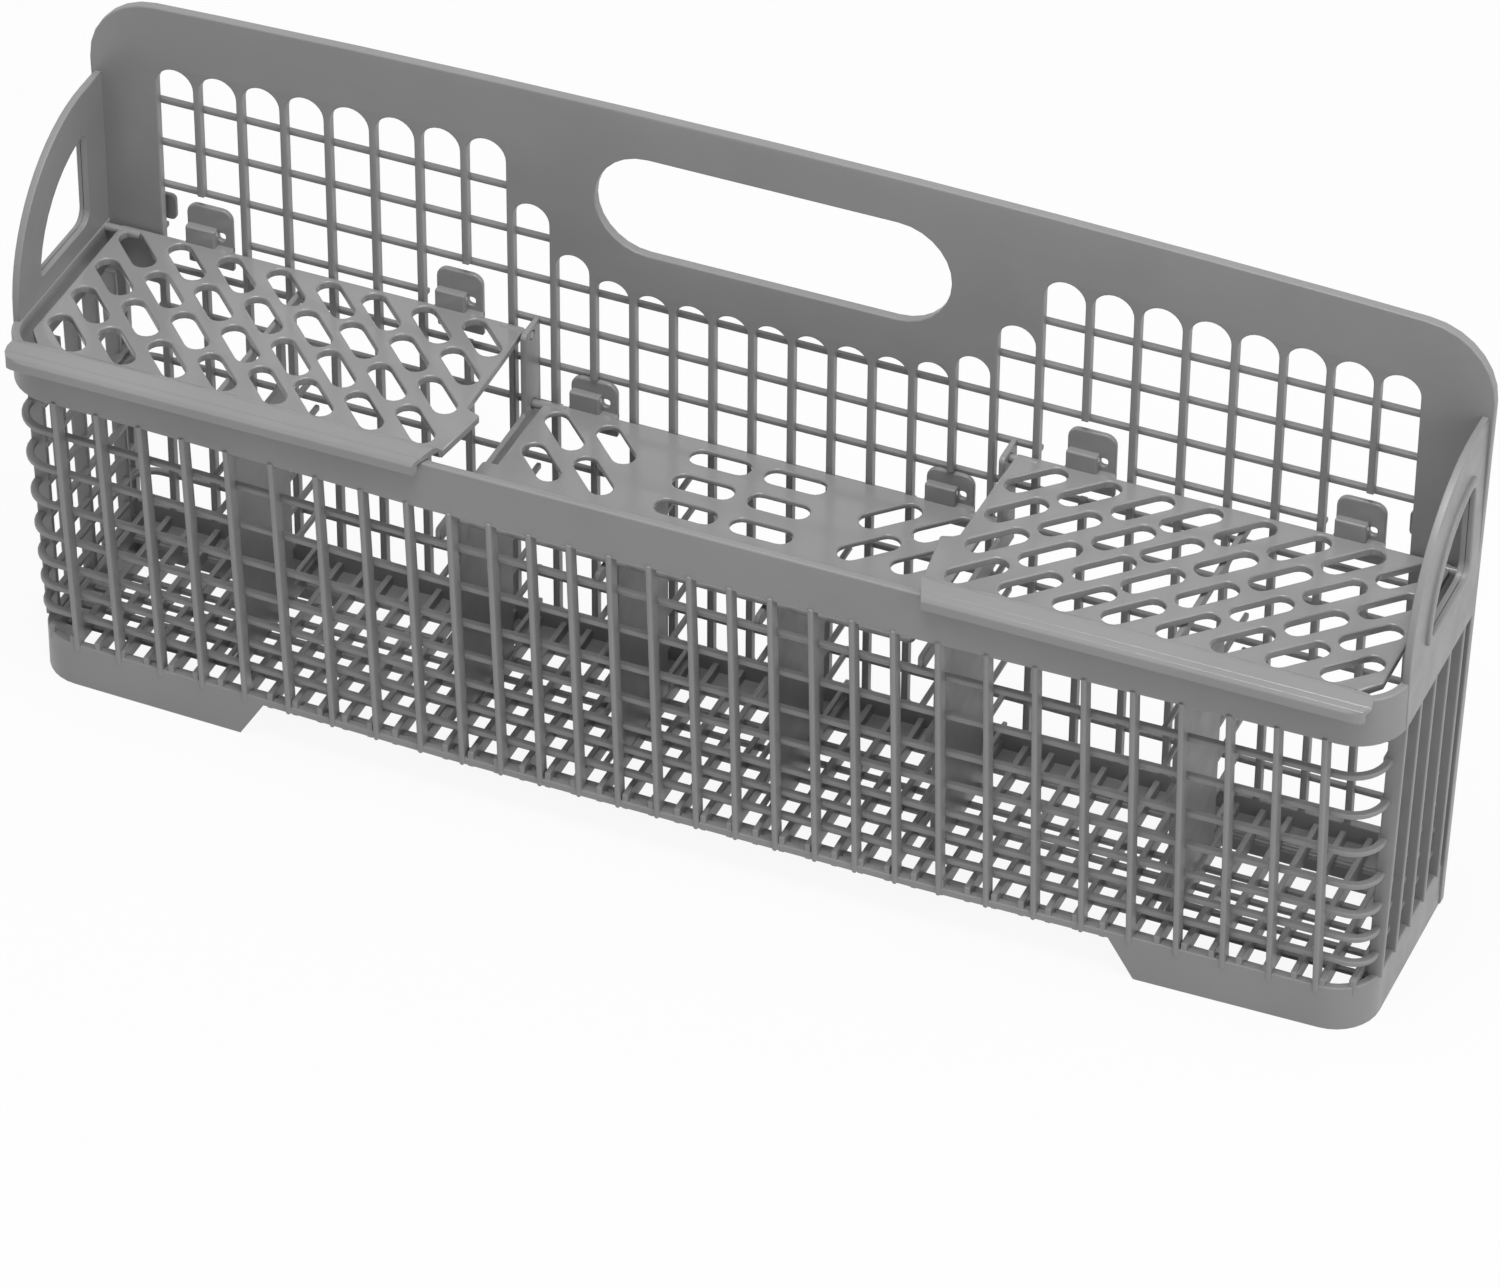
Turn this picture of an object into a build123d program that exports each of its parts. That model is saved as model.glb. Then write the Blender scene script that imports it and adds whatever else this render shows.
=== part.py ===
"""Dishwasher cutlery basket: one moulded lattice tub with three hinged lids. Millimetres."""
import os
from math import hypot

from build123d import *

os.makedirs("parts", exist_ok=True)

# Back panel
PANEL_Y = 40.5
PANEL_T = 3.5
PANEL_HALF = 247.5
PANEL_FOOT_HALF = 242.4
PANEL_SHOULDER_Z = 205.0
PANEL_TOP = 237.9
CROWN_DROP = 6.1
PANEL_CORNER_R = 25.5
HANDLE_L = 126.0
HANDLE_H = 38.0
HANDLE_Z = 201.5

# Compartments: divider places from the centre outwards, and lattice columns between them
DIVIDER_X = (28.35, 85.5, 168.4)
CELL_END_X = 232.2
CELL_COLUMNS = (4, 5, 4)
DIVIDER_T = 2.0

# Back windows and the bars behind them
STRIP_W = 2.4
WINDOW_BOTTOM = 24.0
ARCH_BORDER = 23.7
ARCH_BELOW_HANDLE = 16.0
ARCH_STEPS = (0.0, 0.0, 0.0, 2.0, 8.5, 25.0)
BACK_BAR = 2.0
BACK_BAR_D = 1.8
BACK_ROW_TOP = 196.6
BACK_ROW_PITCH = 17.1
LOW_ROW_PITCH = 24.7
LOW_ROW_COUNT = 3
BAR_LAP = 3.5

# Tub front: rim, ribs and bars
RIM_TOP = 142.4
RIM_BOTTOM = 123.7
RIM_HALF = 246.0
RIM_CORNER_R = 18.0
RIM_WALL = 3.0
FRONT_Y = -43.8
LEAN = 0.0625
BOW_SLOPE = 0.0229
RIB_W = 2.1
RIB_D = 4.5
BAR = 2.0
FRONT_BAR_Z = (105.5, 89.0, 73.0, 59.0, 46.5, 36.0, 25.5)
CORNER_BAR_HALF = 241.2
BEND_SHORT = 0.134
BEND_LONG = 0.5

# Tub ends
FIN_COUNT = 5
FIN_PITCH = 13.95
FIN_FROM_PANEL = 5.1
FIN_T = 2.0
FIN_OUT_TOP = 245.1
FIN_OUT_BOTTOM = 242.6
END_BAR_X = 236.0

# Skirt, feet and floor
SKIRT_TOP = 17.7
SKIRT_HALF = 241.8
SKIRT_CORNER_R = 16.0
SKIRT_WALL = 3.0
BAND_BOTTOM = 15.2
FOOT_X = 162.5
FOOT_SLANT = 9.5
FLOOR_BAR = 2.0
FLOOR_RUNNERS = 6

# Divider ladders
LADDER_ROWS = 2
LADDER_PITCH = 42.0
LADDER_W = 10.0
LADDER_H = 34.0
LADDER_EDGE = 5.0
LADDER_Z = 44.0
TALL_DIVIDER_TOP = 138.0

# End wings
WING_X = 243.4
WING_T = 2.2
WING_R = 55.3
WING_CENTRE_DY = 10.7
WING_CENTRE_Z = 146.7
WING_BORDER = 16.3
WING_HOLE_BOTTOM = 149.6
WING_HOLE_DY = 13.5
WING_FLANGE_W = 2.6
WING_FLANGE_T = 1.6
WING_LAP = 2.5

# Rear clips
CLIP_IN_X = 220.6
CLIP_OUT_X = 245.0
CLIP_Z = 144.0
CLIP_H = 10.0
CLIP_T = 1.8
CLIP_STANDOFF = 2.0
CLIP_WEB_W = 12.0

# Lids
LID_T = 2.1
LID_TOP = 142.0
LID_REAR_GAP = 1.0
LID_IN_X = 88.0
LID_OUT_X = 238.0
LID_SEAT = 0.5
LID_STEP_GAP = 0.8
LIP_FRONT_Y = -47.8
LIP_NOSE_Z = 144.2
LIP_HOOK_Z = 139.5
LIP_HOOK_T = 2.2
EAR_REACH = 6.6
EAR_Y = -10.5
EAR_SLOPE = 2.0
LID_TAPER = 1.0
LIP_IN_X = 85.0
LIP_SKEW = 4.3
LIP_OUT_X = 239.5
LIP_OUT_SKEW = 2.0
LIP_SIDE = 8.3
CORNER_CUT = 6.0
CORNER_CUT_L = 7.5
MID_LID_TOP = 114.0
MID_LID_HALF = 80.9
MID_LID_FRONT_Y = -32.5
MID_EAR_X = 86.2
MID_EAR_Y = -3.5
MID_EAR_W = 8.0
SLOT_L = 23.2
SLOT_W = 9.4
SLOT_ANGLE = 45.0
SLOT_PITCH = 18.5
SLOT_ROW_PITCH = 17.5
SLOT_FIRST_X = 99.0
SLOT_FIRST_DY = 12.0
SLOT_GROUPS = (3, 5)
SLOT_GROUP_GAP = 16.7
SLOT_ROWS = 4
MID_SLOT_X = (49.3, 68.2)
MID_SLOT_DY = (14.4, 33.1)
MID_CENTRE_X = 13.5
MID_CENTRE_DY = (9.6, 24.2, 38.9)

# Hinges
PIN_R = 1.5
PIN_CLEAR = 0.3
PIN_ROOT = 8.0
PIN_SHORT = 0.2
HINGE_DY = 3.0
POST_D = 9.0
POST_WALL = 1.5
TAB_W = 17.0
TAB_T = 2.0
TAB_SET = 1.0
TAB_UP = 14.4
TAB_DOWN = 9.8
TAB_R = 4.0
TAB_SHIFT = 2.6
TAB_BLOCK_W = 11.0
TAB_BLOCK_H = 4.5
TAB_BLOCK_T = 2.0
MID_TAB_UP = 11.5

# Places that follow from the sizes above
BOW_X = DIVIDER_X[1]
POST_X = DIVIDER_X[1]
PANEL_REAR = PANEL_Y + PANEL_T
HANDLE_BOTTOM = HANDLE_Z - HANDLE_H / 2
HINGE_Y = PANEL_Y - HINGE_DY
LID_HINGE_Z = LID_TOP - LID_T / 2
MID_HINGE_Z = MID_LID_TOP - LID_T / 2
LID_REAR = PANEL_Y - LID_REAR_GAP
FINS_Y = [PANEL_Y - FIN_FROM_PANEL - FIN_PITCH * k for k in range(FIN_COUNT)]
FIRST_FIN_Y = min(FINS_Y)
POST_TOP = LID_HINGE_Z + PIN_R + PIN_CLEAR + POST_WALL
MID_DIVIDER_TOP = MID_LID_TOP - LID_T - PIN_CLEAR
LID_SWING_R = hypot(LID_REAR - HINGE_Y, LID_T / 2)
INNER_DIVIDER_TOP = MID_HINGE_Z - LID_SWING_R - PIN_CLEAR
DIVIDER_TOPS = (INNER_DIVIDER_TOP, MID_DIVIDER_TOP, TALL_DIVIDER_TOP)
FLOOR_TOP = BAND_BOTTOM + FLOOR_BAR
LEAN_STEP = hypot(1, LEAN)
LEAN_DIR = (0, -LEAN, 1)

# Lattice columns: evenly spaced inside each compartment, mirrored about the middle
CELL_EDGES = (*DIVIDER_X, CELL_END_X)
MID_PITCH = DIVIDER_X[0] / 2
COLUMNS = [MID_PITCH * 0.5, MID_PITCH * 1.5]
for start, stop, count in zip(CELL_EDGES, CELL_EDGES[1:], CELL_COLUMNS):
    COLUMNS += [start + (stop - start) * (k + 0.5) / count for k in range(count)]
ALL_COLUMNS = sorted([-x for x in COLUMNS] + COLUMNS)
BACK_ROWS = [BACK_ROW_TOP - BACK_ROW_PITCH * k for k in range(6)]
LOW_ROWS = [BACK_ROWS[-1] - LOW_ROW_PITCH * (k + 1) for k in range(LOW_ROW_COUNT)]
SIDE_TAB_COLUMNS = (7, 13)
MID_TAB_COLUMN = 4
TAB_WINDOW_H = 2 * BACK_ROW_PITCH - BACK_BAR
SIDE_WINDOW_Z = BACK_ROWS[4] + TAB_WINDOW_H / 2
MID_WINDOW_Z = BACK_ROWS[4] - BACK_BAR - TAB_WINDOW_H / 2


def crown_z(x):
    """Height of the crowned top edge of the back panel at x."""
    return PANEL_TOP - CROWN_DROP * (x / PANEL_HALF) ** 2


def front_y(x, z):
    """Outer face of the leaning, slightly bowed front at x and z."""
    return FRONT_Y + LEAN * (RIM_BOTTOM - z) + BOW_SLOPE * max(0.0, abs(x) - BOW_X)


def bowed_plan(z, half, front, radius, back):
    """Plan of the tub at z: bowed front, two round corners and a straight back."""
    corner = front + BOW_SLOPE * (half - BOW_X)
    with BuildSketch(Plane.XY.offset(z)) as plan:
        with BuildLine():
            FilletPolyline((-half, back), (-half, corner), (-BOW_X, front), radius=radius)
            Line((-BOW_X, front), (BOW_X, front))
            FilletPolyline((BOW_X, front), (half, corner), (half, back), radius=radius)
            Line((half, back), (-half, back))
        make_face()
    return plan.sketch


def bowed_wall(z, half, front, radius, wall, back):
    """Plan of a U-shaped wall at z that is open at the back."""
    outer = bowed_plan(z, half, front, radius, back)
    return outer - bowed_plan(z, half - wall, front + wall, radius - wall, back)


with BuildPart() as back:
    # Back panel with a crowned top, a raised bottom edge between the feet and a handle slot
    with BuildSketch(Plane.XZ.offset(-PANEL_Y)) as panel:
        with BuildLine():
            Polyline(
                (-PANEL_HALF, crown_z(PANEL_HALF)),
                (-PANEL_HALF, PANEL_SHOULDER_Z),
                (-PANEL_FOOT_HALF, 0),
                (-FOOT_X, 0),
                (-FOOT_X + FOOT_SLANT, BAND_BOTTOM),
                (FOOT_X - FOOT_SLANT, BAND_BOTTOM),
                (FOOT_X, 0),
                (PANEL_FOOT_HALF, 0),
                (PANEL_HALF, PANEL_SHOULDER_Z),
                (PANEL_HALF, crown_z(PANEL_HALF)),
            )
            ThreePointArc(
                (PANEL_HALF, crown_z(PANEL_HALF)),
                (0, PANEL_TOP),
                (-PANEL_HALF, crown_z(PANEL_HALF)),
            )
        make_face()
        fillet(panel.vertices().sort_by(Axis.Y)[-2:], PANEL_CORNER_R)
        with Locations((0, HANDLE_Z)):
            SlotOverall(HANDLE_L, HANDLE_H, mode=Mode.SUBTRACT)

        # Arched windows, one in each column, that step up beside the handle
        for left, right in zip(ALL_COLUMNS, ALL_COLUMNS[1:]):
            x0, x1 = left + STRIP_W / 2, right - STRIP_W / 2
            middle, half = (x0 + x1) / 2, (x1 - x0) / 2
            column = sum(x < abs(middle) for x in COLUMNS)
            if column < len(ARCH_STEPS) + 1:
                top = HANDLE_BOTTOM - ARCH_BELOW_HANDLE + ARCH_STEPS[max(column, 1) - 1]
            else:
                top = crown_z(middle) - ARCH_BORDER
            with BuildLine():
                Polyline((x0, top - half), (x0, WINDOW_BOTTOM), (x1, WINDOW_BOTTOM), (x1, top - half))
                ThreePointArc((x1, top - half), (middle, top), (x0, top - half))
            make_face(mode=Mode.SUBTRACT)
    extrude(amount=-PANEL_T)

    # Bars that lie behind the strips
    with BuildSketch(Plane.XZ.offset(-PANEL_REAR)):
        for z in BACK_ROWS[2:] + LOW_ROWS:
            with Locations((0, z - BACK_BAR / 2)):
                Rectangle(2 * (COLUMNS[-1] + BAR_LAP), BACK_BAR)
        for z, start in zip(BACK_ROWS[:2], (COLUMNS[6], COLUMNS[5])):
            middle, half = (COLUMNS[-1] + start) / 2, (COLUMNS[-1] - start) / 2
            with Locations((-middle, z - BACK_BAR / 2), (middle, z - BACK_BAR / 2)):
                Rectangle(2 * (half + BAR_LAP), BACK_BAR)
    extrude(amount=-BACK_BAR_D)

    # Double openings where the lid tabs swing through
    with BuildSketch(Plane.XZ.offset(-PANEL_Y)):
        for k in (*SIDE_TAB_COLUMNS, MID_TAB_COLUMN):
            middle = (COLUMNS[k - 1] + COLUMNS[k + 1]) / 2
            z = MID_WINDOW_Z if k == MID_TAB_COLUMN else SIDE_WINDOW_Z
            with Locations((-middle, z), (middle, z)):
                Rectangle(COLUMNS[k + 1] - COLUMNS[k - 1] - STRIP_W, TAB_WINDOW_H)
    extrude(amount=-(PANEL_T + BACK_BAR_D), mode=Mode.SUBTRACT)

    # Clips that stand off both ends
    clip_x = (CLIP_IN_X + CLIP_OUT_X) / 2
    clip_z = CLIP_Z + CLIP_H / 2
    with BuildSketch(Plane.XZ.offset(-PANEL_REAR)):
        with Locations((-clip_x, clip_z), (clip_x, clip_z)):
            Rectangle(CLIP_WEB_W, CLIP_H)
    extrude(amount=-CLIP_STANDOFF)
    with BuildSketch(Plane.XZ.offset(-PANEL_REAR - CLIP_STANDOFF)):
        with Locations((-clip_x, clip_z), (clip_x, clip_z)):
            Rectangle(CLIP_OUT_X - CLIP_IN_X, CLIP_H)
    extrude(amount=-CLIP_T)


with BuildPart() as tub:
    # Skirt that makes the feet, cut away in the middle
    skirt = bowed_wall(0, SKIRT_HALF, front_y(0, SKIRT_TOP), SKIRT_CORNER_R, SKIRT_WALL, PANEL_Y)
    extrude(skirt, amount=SKIRT_TOP)
    with BuildSketch(Plane.XZ):
        with BuildLine():
            Polyline(
                (-FOOT_X, 0),
                (-FOOT_X + FOOT_SLANT, BAND_BOTTOM),
                (FOOT_X - FOOT_SLANT, BAND_BOTTOM),
                (FOOT_X, 0),
                close=True,
            )
        make_face()
    extrude(amount=PANEL_HALF, both=True, mode=Mode.SUBTRACT)

    # Rim band with bearing holes
    rim = bowed_wall(RIM_BOTTOM, RIM_HALF, FRONT_Y, RIM_CORNER_R, RIM_WALL, PANEL_Y)
    extrude(rim, amount=RIM_TOP - RIM_BOTTOM)
    with BuildSketch(Plane.YZ):
        with Locations((HINGE_Y, LID_HINGE_Z)):
            Circle(PIN_R + PIN_CLEAR)
    extrude(amount=RIM_HALF, both=True, mode=Mode.SUBTRACT)

    # Leaning front ribs, flush with the rim and the skirt
    with BuildSketch(Plane.XY.offset(SKIRT_TOP)):
        for x in ALL_COLUMNS:
            x0, x1 = x - RIB_W / 2, x + RIB_W / 2
            y0, y1 = front_y(x0, SKIRT_TOP), front_y(x1, SKIRT_TOP)
            with BuildLine():
                Polyline((x0, y0), (x1, y1), (x1, y1 + RIB_D), (x0, y0 + RIB_D), close=True)
            make_face()
    extrude(amount=(RIM_BOTTOM - SKIRT_TOP) * LEAN_STEP, dir=LEAN_DIR)

    # Upright fins on both ends
    for y in FINS_Y:
        with BuildSketch(Plane.XZ.offset(-y)):
            for side in (-1, 1):
                with BuildLine():
                    Polyline(
                        (side * END_BAR_X, SKIRT_TOP),
                        (side * FIN_OUT_BOTTOM, SKIRT_TOP),
                        (side * FIN_OUT_TOP, RIM_BOTTOM),
                        (side * END_BAR_X, RIM_BOTTOM),
                        close=True,
                    )
                make_face()
    extrude(amount=FIN_T / 2, both=True)


with BuildPart() as bars:
    # Bars behind the front ribs, bent in short facets round both corners to the first fins
    for z in FRONT_BAR_Z:
        with BuildSketch(Plane.XY.offset(z)):
            for inset, mode in ((0, Mode.ADD), (BAR, Mode.SUBTRACT)):
                front = front_y(0, z) + RIB_D + inset
                corner_y = front_y(CORNER_BAR_HALF, z) + RIB_D + inset
                half = CORNER_BAR_HALF - inset
                reach = FIRST_FIN_Y - corner_y
                with BuildLine():
                    Polyline(
                        (-half, FIRST_FIN_Y),
                        (-half + reach * BEND_SHORT, corner_y + reach * BEND_LONG),
                        (-half + reach * BEND_LONG, corner_y + reach * BEND_SHORT),
                        (-half + reach, corner_y - BOW_SLOPE * reach),
                        (-BOW_X, front),
                        (BOW_X, front),
                        (half - reach, corner_y - BOW_SLOPE * reach),
                        (half - reach * BEND_LONG, corner_y + reach * BEND_SHORT),
                        (half - reach * BEND_SHORT, corner_y + reach * BEND_LONG),
                        (half, FIRST_FIN_Y),
                        close=True,
                    )
                make_face(mode=mode)
    extrude(amount=BAR * LEAN_STEP, dir=LEAN_DIR)

    # Straight bars behind the fins
    end_front = FIRST_FIN_Y - FIN_T / 2
    end_x, end_y = END_BAR_X - BAR / 2, (end_front + PANEL_Y) / 2
    for z in FRONT_BAR_Z:
        with BuildSketch(Plane.XY.offset(z)):
            with Locations((-end_x, end_y), (end_x, end_y)):
                Rectangle(BAR, PANEL_Y - end_front)
    extrude(amount=BAR)


with BuildPart() as floor:
    # Runners along the length that end in the skirt and carry the dividers
    floor_front = front_y(0, SKIRT_TOP)
    inset = SKIRT_WALL / 2
    with BuildSketch(Plane.XY.offset(BAND_BOTTOM)):
        for k in range(FLOOR_RUNNERS):
            y = floor_front + (PANEL_Y - floor_front) * (k + 1) / (FLOOR_RUNNERS + 1)
            with Locations((0, y)):
                Rectangle(2 * SKIRT_HALF, FLOOR_BAR)
        inner_plan = bowed_plan(
            0, SKIRT_HALF - inset, floor_front + inset, SKIRT_CORNER_R - inset, PANEL_Y
        )
        add(inner_plan, mode=Mode.INTERSECT)
    extrude(amount=FLOOR_BAR)


with BuildPart() as dividers:
    # Dividers with open ladders beside the front and the back, and hinge posts on the middle pair
    divider_lap = RIB_D + BAR * 0.75
    for x, top in zip(DIVIDER_X, DIVIDER_TOPS):
        foot_y = front_y(x, FLOOR_TOP) + divider_lap
        head_y = front_y(x, top) + divider_lap
        for side in (-1, 1):
            with BuildSketch(Plane.YZ.offset(side * x)):
                with BuildLine():
                    Polyline(
                        (PANEL_REAR, FLOOR_TOP),
                        (PANEL_REAR, top),
                        (head_y, top),
                        (foot_y, FLOOR_TOP),
                        close=True,
                    )
                make_face()
                if x == POST_X:
                    with Locations((PANEL_REAR - (POST_D + PANEL_T) / 2, (top + POST_TOP) / 2)):
                        Rectangle(POST_D + PANEL_T, POST_TOP - top)
                    with Locations((HINGE_Y, LID_HINGE_Z), (HINGE_Y, MID_HINGE_Z)):
                        Circle(PIN_R + PIN_CLEAR, mode=Mode.SUBTRACT)
                for k in range(LADDER_ROWS):
                    z = LADDER_Z + LADDER_PITCH * k
                    front_gap = front_y(x, z) + divider_lap + LADDER_EDGE + LADDER_W / 2
                    back_gap = PANEL_Y - LADDER_EDGE - LADDER_W / 2
                    with Locations((front_gap, z), (back_gap, z)):
                        Rectangle(LADDER_W, LADDER_H, mode=Mode.SUBTRACT)
    extrude(amount=DIVIDER_T / 2, both=True)


with BuildPart() as wings:
    # Wing with an arched outer edge on top of the right end wall
    wing_y = PANEL_Y - WING_CENTRE_DY
    wing_bottom = RIM_TOP - WING_LAP
    hole_rear = PANEL_Y - WING_HOLE_DY
    with BuildSketch(Plane.YZ.offset(WING_X)):
        with Locations((wing_y, WING_CENTRE_Z)):
            Circle(WING_R)
        with Locations((PANEL_Y - WING_CENTRE_DY / 2, WING_CENTRE_Z + WING_R / 2)):
            Rectangle(WING_CENTRE_DY, WING_R)
        with Locations((PANEL_Y - WING_R, wing_bottom + WING_R)):
            Rectangle(2 * WING_R, 2 * WING_R, mode=Mode.INTERSECT)
        with Locations((HINGE_Y, LID_HINGE_Z)):
            Circle(PIN_R + PIN_CLEAR, mode=Mode.SUBTRACT)
    extrude(amount=WING_T)

    # Cut-out with a raised frame
    with BuildSketch(Plane.YZ.offset(WING_X)) as cutout:
        with Locations((wing_y, WING_CENTRE_Z)):
            Circle(WING_R - WING_BORDER)
        with Locations((hole_rear - WING_R, WING_HOLE_BOTTOM + WING_R)):
            Rectangle(2 * WING_R, 2 * WING_R, mode=Mode.INTERSECT)
    frame = offset(cutout.sketch, amount=WING_FLANGE_W, kind=Kind.INTERSECTION, mode=Mode.PRIVATE)
    extrude(frame, amount=WING_T + WING_FLANGE_T)
    extrude(cutout.sketch, amount=WING_T + WING_FLANGE_T, mode=Mode.SUBTRACT)
    mirror(about=Plane.YZ)


with BuildPart() as basket:
    add([back.part, tub.part, bars.part, floor.part, dividers.part, wings.part])


with BuildPart() as right_lid:
    # Plate with a raised lip that hooks over the rim
    lid_bottom = LID_TOP - LID_T
    lip_under = RIM_TOP + LID_SEAT
    lip_top = lip_under + LID_T
    step_y = front_y(LID_OUT_X, RIM_BOTTOM) + RIM_WALL + LID_STEP_GAP
    ear_tip = LID_IN_X - EAR_REACH
    with BuildSketch(Plane.YZ.offset(ear_tip)):
        with BuildLine():
            Polyline(
                (LID_REAR, lid_bottom),
                (LID_REAR, LID_TOP),
                (step_y + LID_T, LID_TOP),
                (step_y - LID_T / 2, lip_top),
                (LIP_FRONT_Y + LIP_HOOK_T / 2, LIP_NOSE_Z),
                (LIP_FRONT_Y, LIP_NOSE_Z - LIP_HOOK_T / 2),
                (LIP_FRONT_Y, LIP_HOOK_Z),
                (LIP_FRONT_Y + LIP_HOOK_T, LIP_HOOK_Z),
                (LIP_FRONT_Y + LIP_HOOK_T, lip_under),
                (step_y, lip_under),
                (step_y + LID_T / 2, lid_bottom),
                close=True,
            )
        make_face()
    extrude(amount=RIM_HALF - ear_tip)
    with BuildSketch(Plane.XY.offset(LIP_HOOK_Z)):
        with BuildLine():
            Polyline(
                (LID_IN_X, LID_REAR),
                (LID_IN_X - LID_TAPER, EAR_Y + EAR_SLOPE / 2),
                (ear_tip, EAR_Y - EAR_SLOPE / 2),
                (LIP_IN_X, step_y),
                (LIP_IN_X + LIP_SKEW, LIP_FRONT_Y),
                (LIP_OUT_X - LIP_OUT_SKEW, LIP_FRONT_Y),
                (LIP_OUT_X, LIP_FRONT_Y + LIP_SIDE),
                (LID_OUT_X - CORNER_CUT, step_y),
                (LID_OUT_X - CORNER_CUT, step_y + LID_T),
                (LID_OUT_X, step_y + LID_T + CORNER_CUT_L),
                (LID_OUT_X, LID_REAR),
                close=True,
            )
        make_face()
    extrude(amount=lip_top - LIP_HOOK_Z, mode=Mode.INTERSECT)

    # Slanted slots in two groups of columns
    columns = [SLOT_FIRST_X + SLOT_PITCH * k for k in range(SLOT_GROUPS[0])]
    second = columns[-1] + SLOT_GROUP_GAP
    columns += [second + SLOT_PITCH * k for k in range(SLOT_GROUPS[1])]
    with BuildSketch(Plane.XY.offset(lid_bottom)) as slots:
        for x in columns:
            for k in range(SLOT_ROWS):
                with Locations((x, PANEL_Y - SLOT_FIRST_DY - SLOT_ROW_PITCH * k)):
                    Rectangle(SLOT_L, SLOT_W, rotation=SLOT_ANGLE)
        chamfer(slots.vertices(), SLOT_W * 0.29)
    extrude(amount=LID_T, mode=Mode.SUBTRACT)

    # Hinge pins
    for start, stop in (
        (DIVIDER_X[1] - DIVIDER_T / 2 + PIN_SHORT, LID_IN_X + PIN_ROOT),
        (LID_OUT_X - PIN_ROOT, RIM_HALF - PIN_SHORT),
    ):
        with BuildSketch(Plane.YZ.offset(start)):
            with Locations((HINGE_Y, LID_HINGE_Z)):
                Circle(PIN_R)
        extrude(amount=stop - start)

    # Tabs that stand in the openings of the back
    lug_front, lug_rear = LID_REAR - LID_T, PANEL_Y + TAB_SET + TAB_T
    tab_columns = [COLUMNS[SIDE_TAB_COLUMNS[0]] + TAB_SHIFT, COLUMNS[SIDE_TAB_COLUMNS[1]] - TAB_SHIFT]
    with BuildSketch(Plane.XY.offset(lid_bottom)):
        for x in tab_columns:
            with Locations((x, (lug_front + lug_rear) / 2)):
                Rectangle(TAB_W, lug_rear - lug_front)
    extrude(amount=LID_T)
    with BuildSketch(Plane.XZ.offset(-PANEL_Y - TAB_SET)) as tabs:
        for x in tab_columns:
            with Locations((x, LID_TOP + (TAB_UP - TAB_DOWN) / 2)):
                Rectangle(TAB_W, TAB_UP + TAB_DOWN)
        fillet(tabs.vertices().group_by(Axis.Y)[-1], TAB_R)
    extrude(amount=-TAB_T)
    with BuildSketch(Plane.XZ.offset(-PANEL_Y - TAB_SET)):
        for x in tab_columns:
            with Locations((x - (TAB_W - TAB_BLOCK_W) / 4, LID_TOP + TAB_BLOCK_H)):
                Rectangle(TAB_BLOCK_W, TAB_BLOCK_H)
    extrude(amount=TAB_BLOCK_T)


with BuildPart() as left_lid:
    mirror(right_lid.part, about=Plane.YZ)


with BuildPart() as middle_lid:
    # Flat plate with two small ears that rest on the dividers
    mid_bottom = MID_LID_TOP - LID_T
    with BuildSketch(Plane.XY.offset(mid_bottom)) as plate:
        with Locations((0, (LID_REAR + MID_LID_FRONT_Y) / 2)):
            Rectangle(2 * MID_LID_HALF, LID_REAR - MID_LID_FRONT_Y)
        with Locations((0, MID_EAR_Y)):
            Rectangle(2 * MID_EAR_X, MID_EAR_W)
        for side in (-1, 1):
            for x in MID_SLOT_X:
                for dy in MID_SLOT_DY:
                    with Locations((side * x, PANEL_Y - dy)):
                        Rectangle(SLOT_L, SLOT_W, rotation=side * SLOT_ANGLE, mode=Mode.SUBTRACT)
            for dy in MID_CENTRE_DY:
                with Locations((side * MID_CENTRE_X, PANEL_Y - dy)):
                    Rectangle(SLOT_L, SLOT_W, mode=Mode.SUBTRACT)
        holes = plate.face().inner_wires()
        chamfer([v for hole in holes for v in hole.vertices()], SLOT_W * 0.29)
    extrude(amount=LID_T)

    # Hinge pins
    for side in (-1, 1):
        with BuildSketch(Plane.YZ.offset(side * (MID_LID_HALF - PIN_ROOT))):
            with Locations((HINGE_Y, MID_HINGE_Z)):
                Circle(PIN_R)
        extrude(amount=side * (DIVIDER_X[1] + DIVIDER_T / 2 - PIN_SHORT - MID_LID_HALF + PIN_ROOT))

    # Tabs that stand in the openings of the back
    with BuildSketch(Plane.XY.offset(mid_bottom)):
        for side in (-1, 1):
            with Locations((side * COLUMNS[MID_TAB_COLUMN], (lug_front + lug_rear) / 2)):
                Rectangle(TAB_W, lug_rear - lug_front)
    extrude(amount=LID_T)
    with BuildSketch(Plane.XZ.offset(-PANEL_Y - TAB_SET)) as mid_tabs:
        for side in (-1, 1):
            with Locations((side * COLUMNS[MID_TAB_COLUMN], MID_LID_TOP + (MID_TAB_UP - TAB_DOWN) / 2)):
                Rectangle(TAB_W, MID_TAB_UP + TAB_DOWN)
        fillet(mid_tabs.vertices().group_by(Axis.Y)[-1], TAB_R)
    extrude(amount=-TAB_T)
    with BuildSketch(Plane.XZ.offset(-PANEL_Y - TAB_SET)):
        for side in (-1, 1):
            x = side * COLUMNS[MID_TAB_COLUMN] - (TAB_W - TAB_BLOCK_W) / 4
            with Locations((x, MID_LID_TOP + TAB_BLOCK_H)):
                Rectangle(TAB_BLOCK_W, TAB_BLOCK_H)
    extrude(amount=TAB_BLOCK_T)


basket.part.label = "basket"
left_lid.part.label = "left_lid"
middle_lid.part.label = "middle_lid"
right_lid.part.label = "right_lid"
export_step(basket.part, "parts/basket.step")
export_step(left_lid.part, "parts/left_lid.step")
export_step(middle_lid.part, "parts/middle_lid.step")
export_step(right_lid.part, "parts/right_lid.step")
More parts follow.
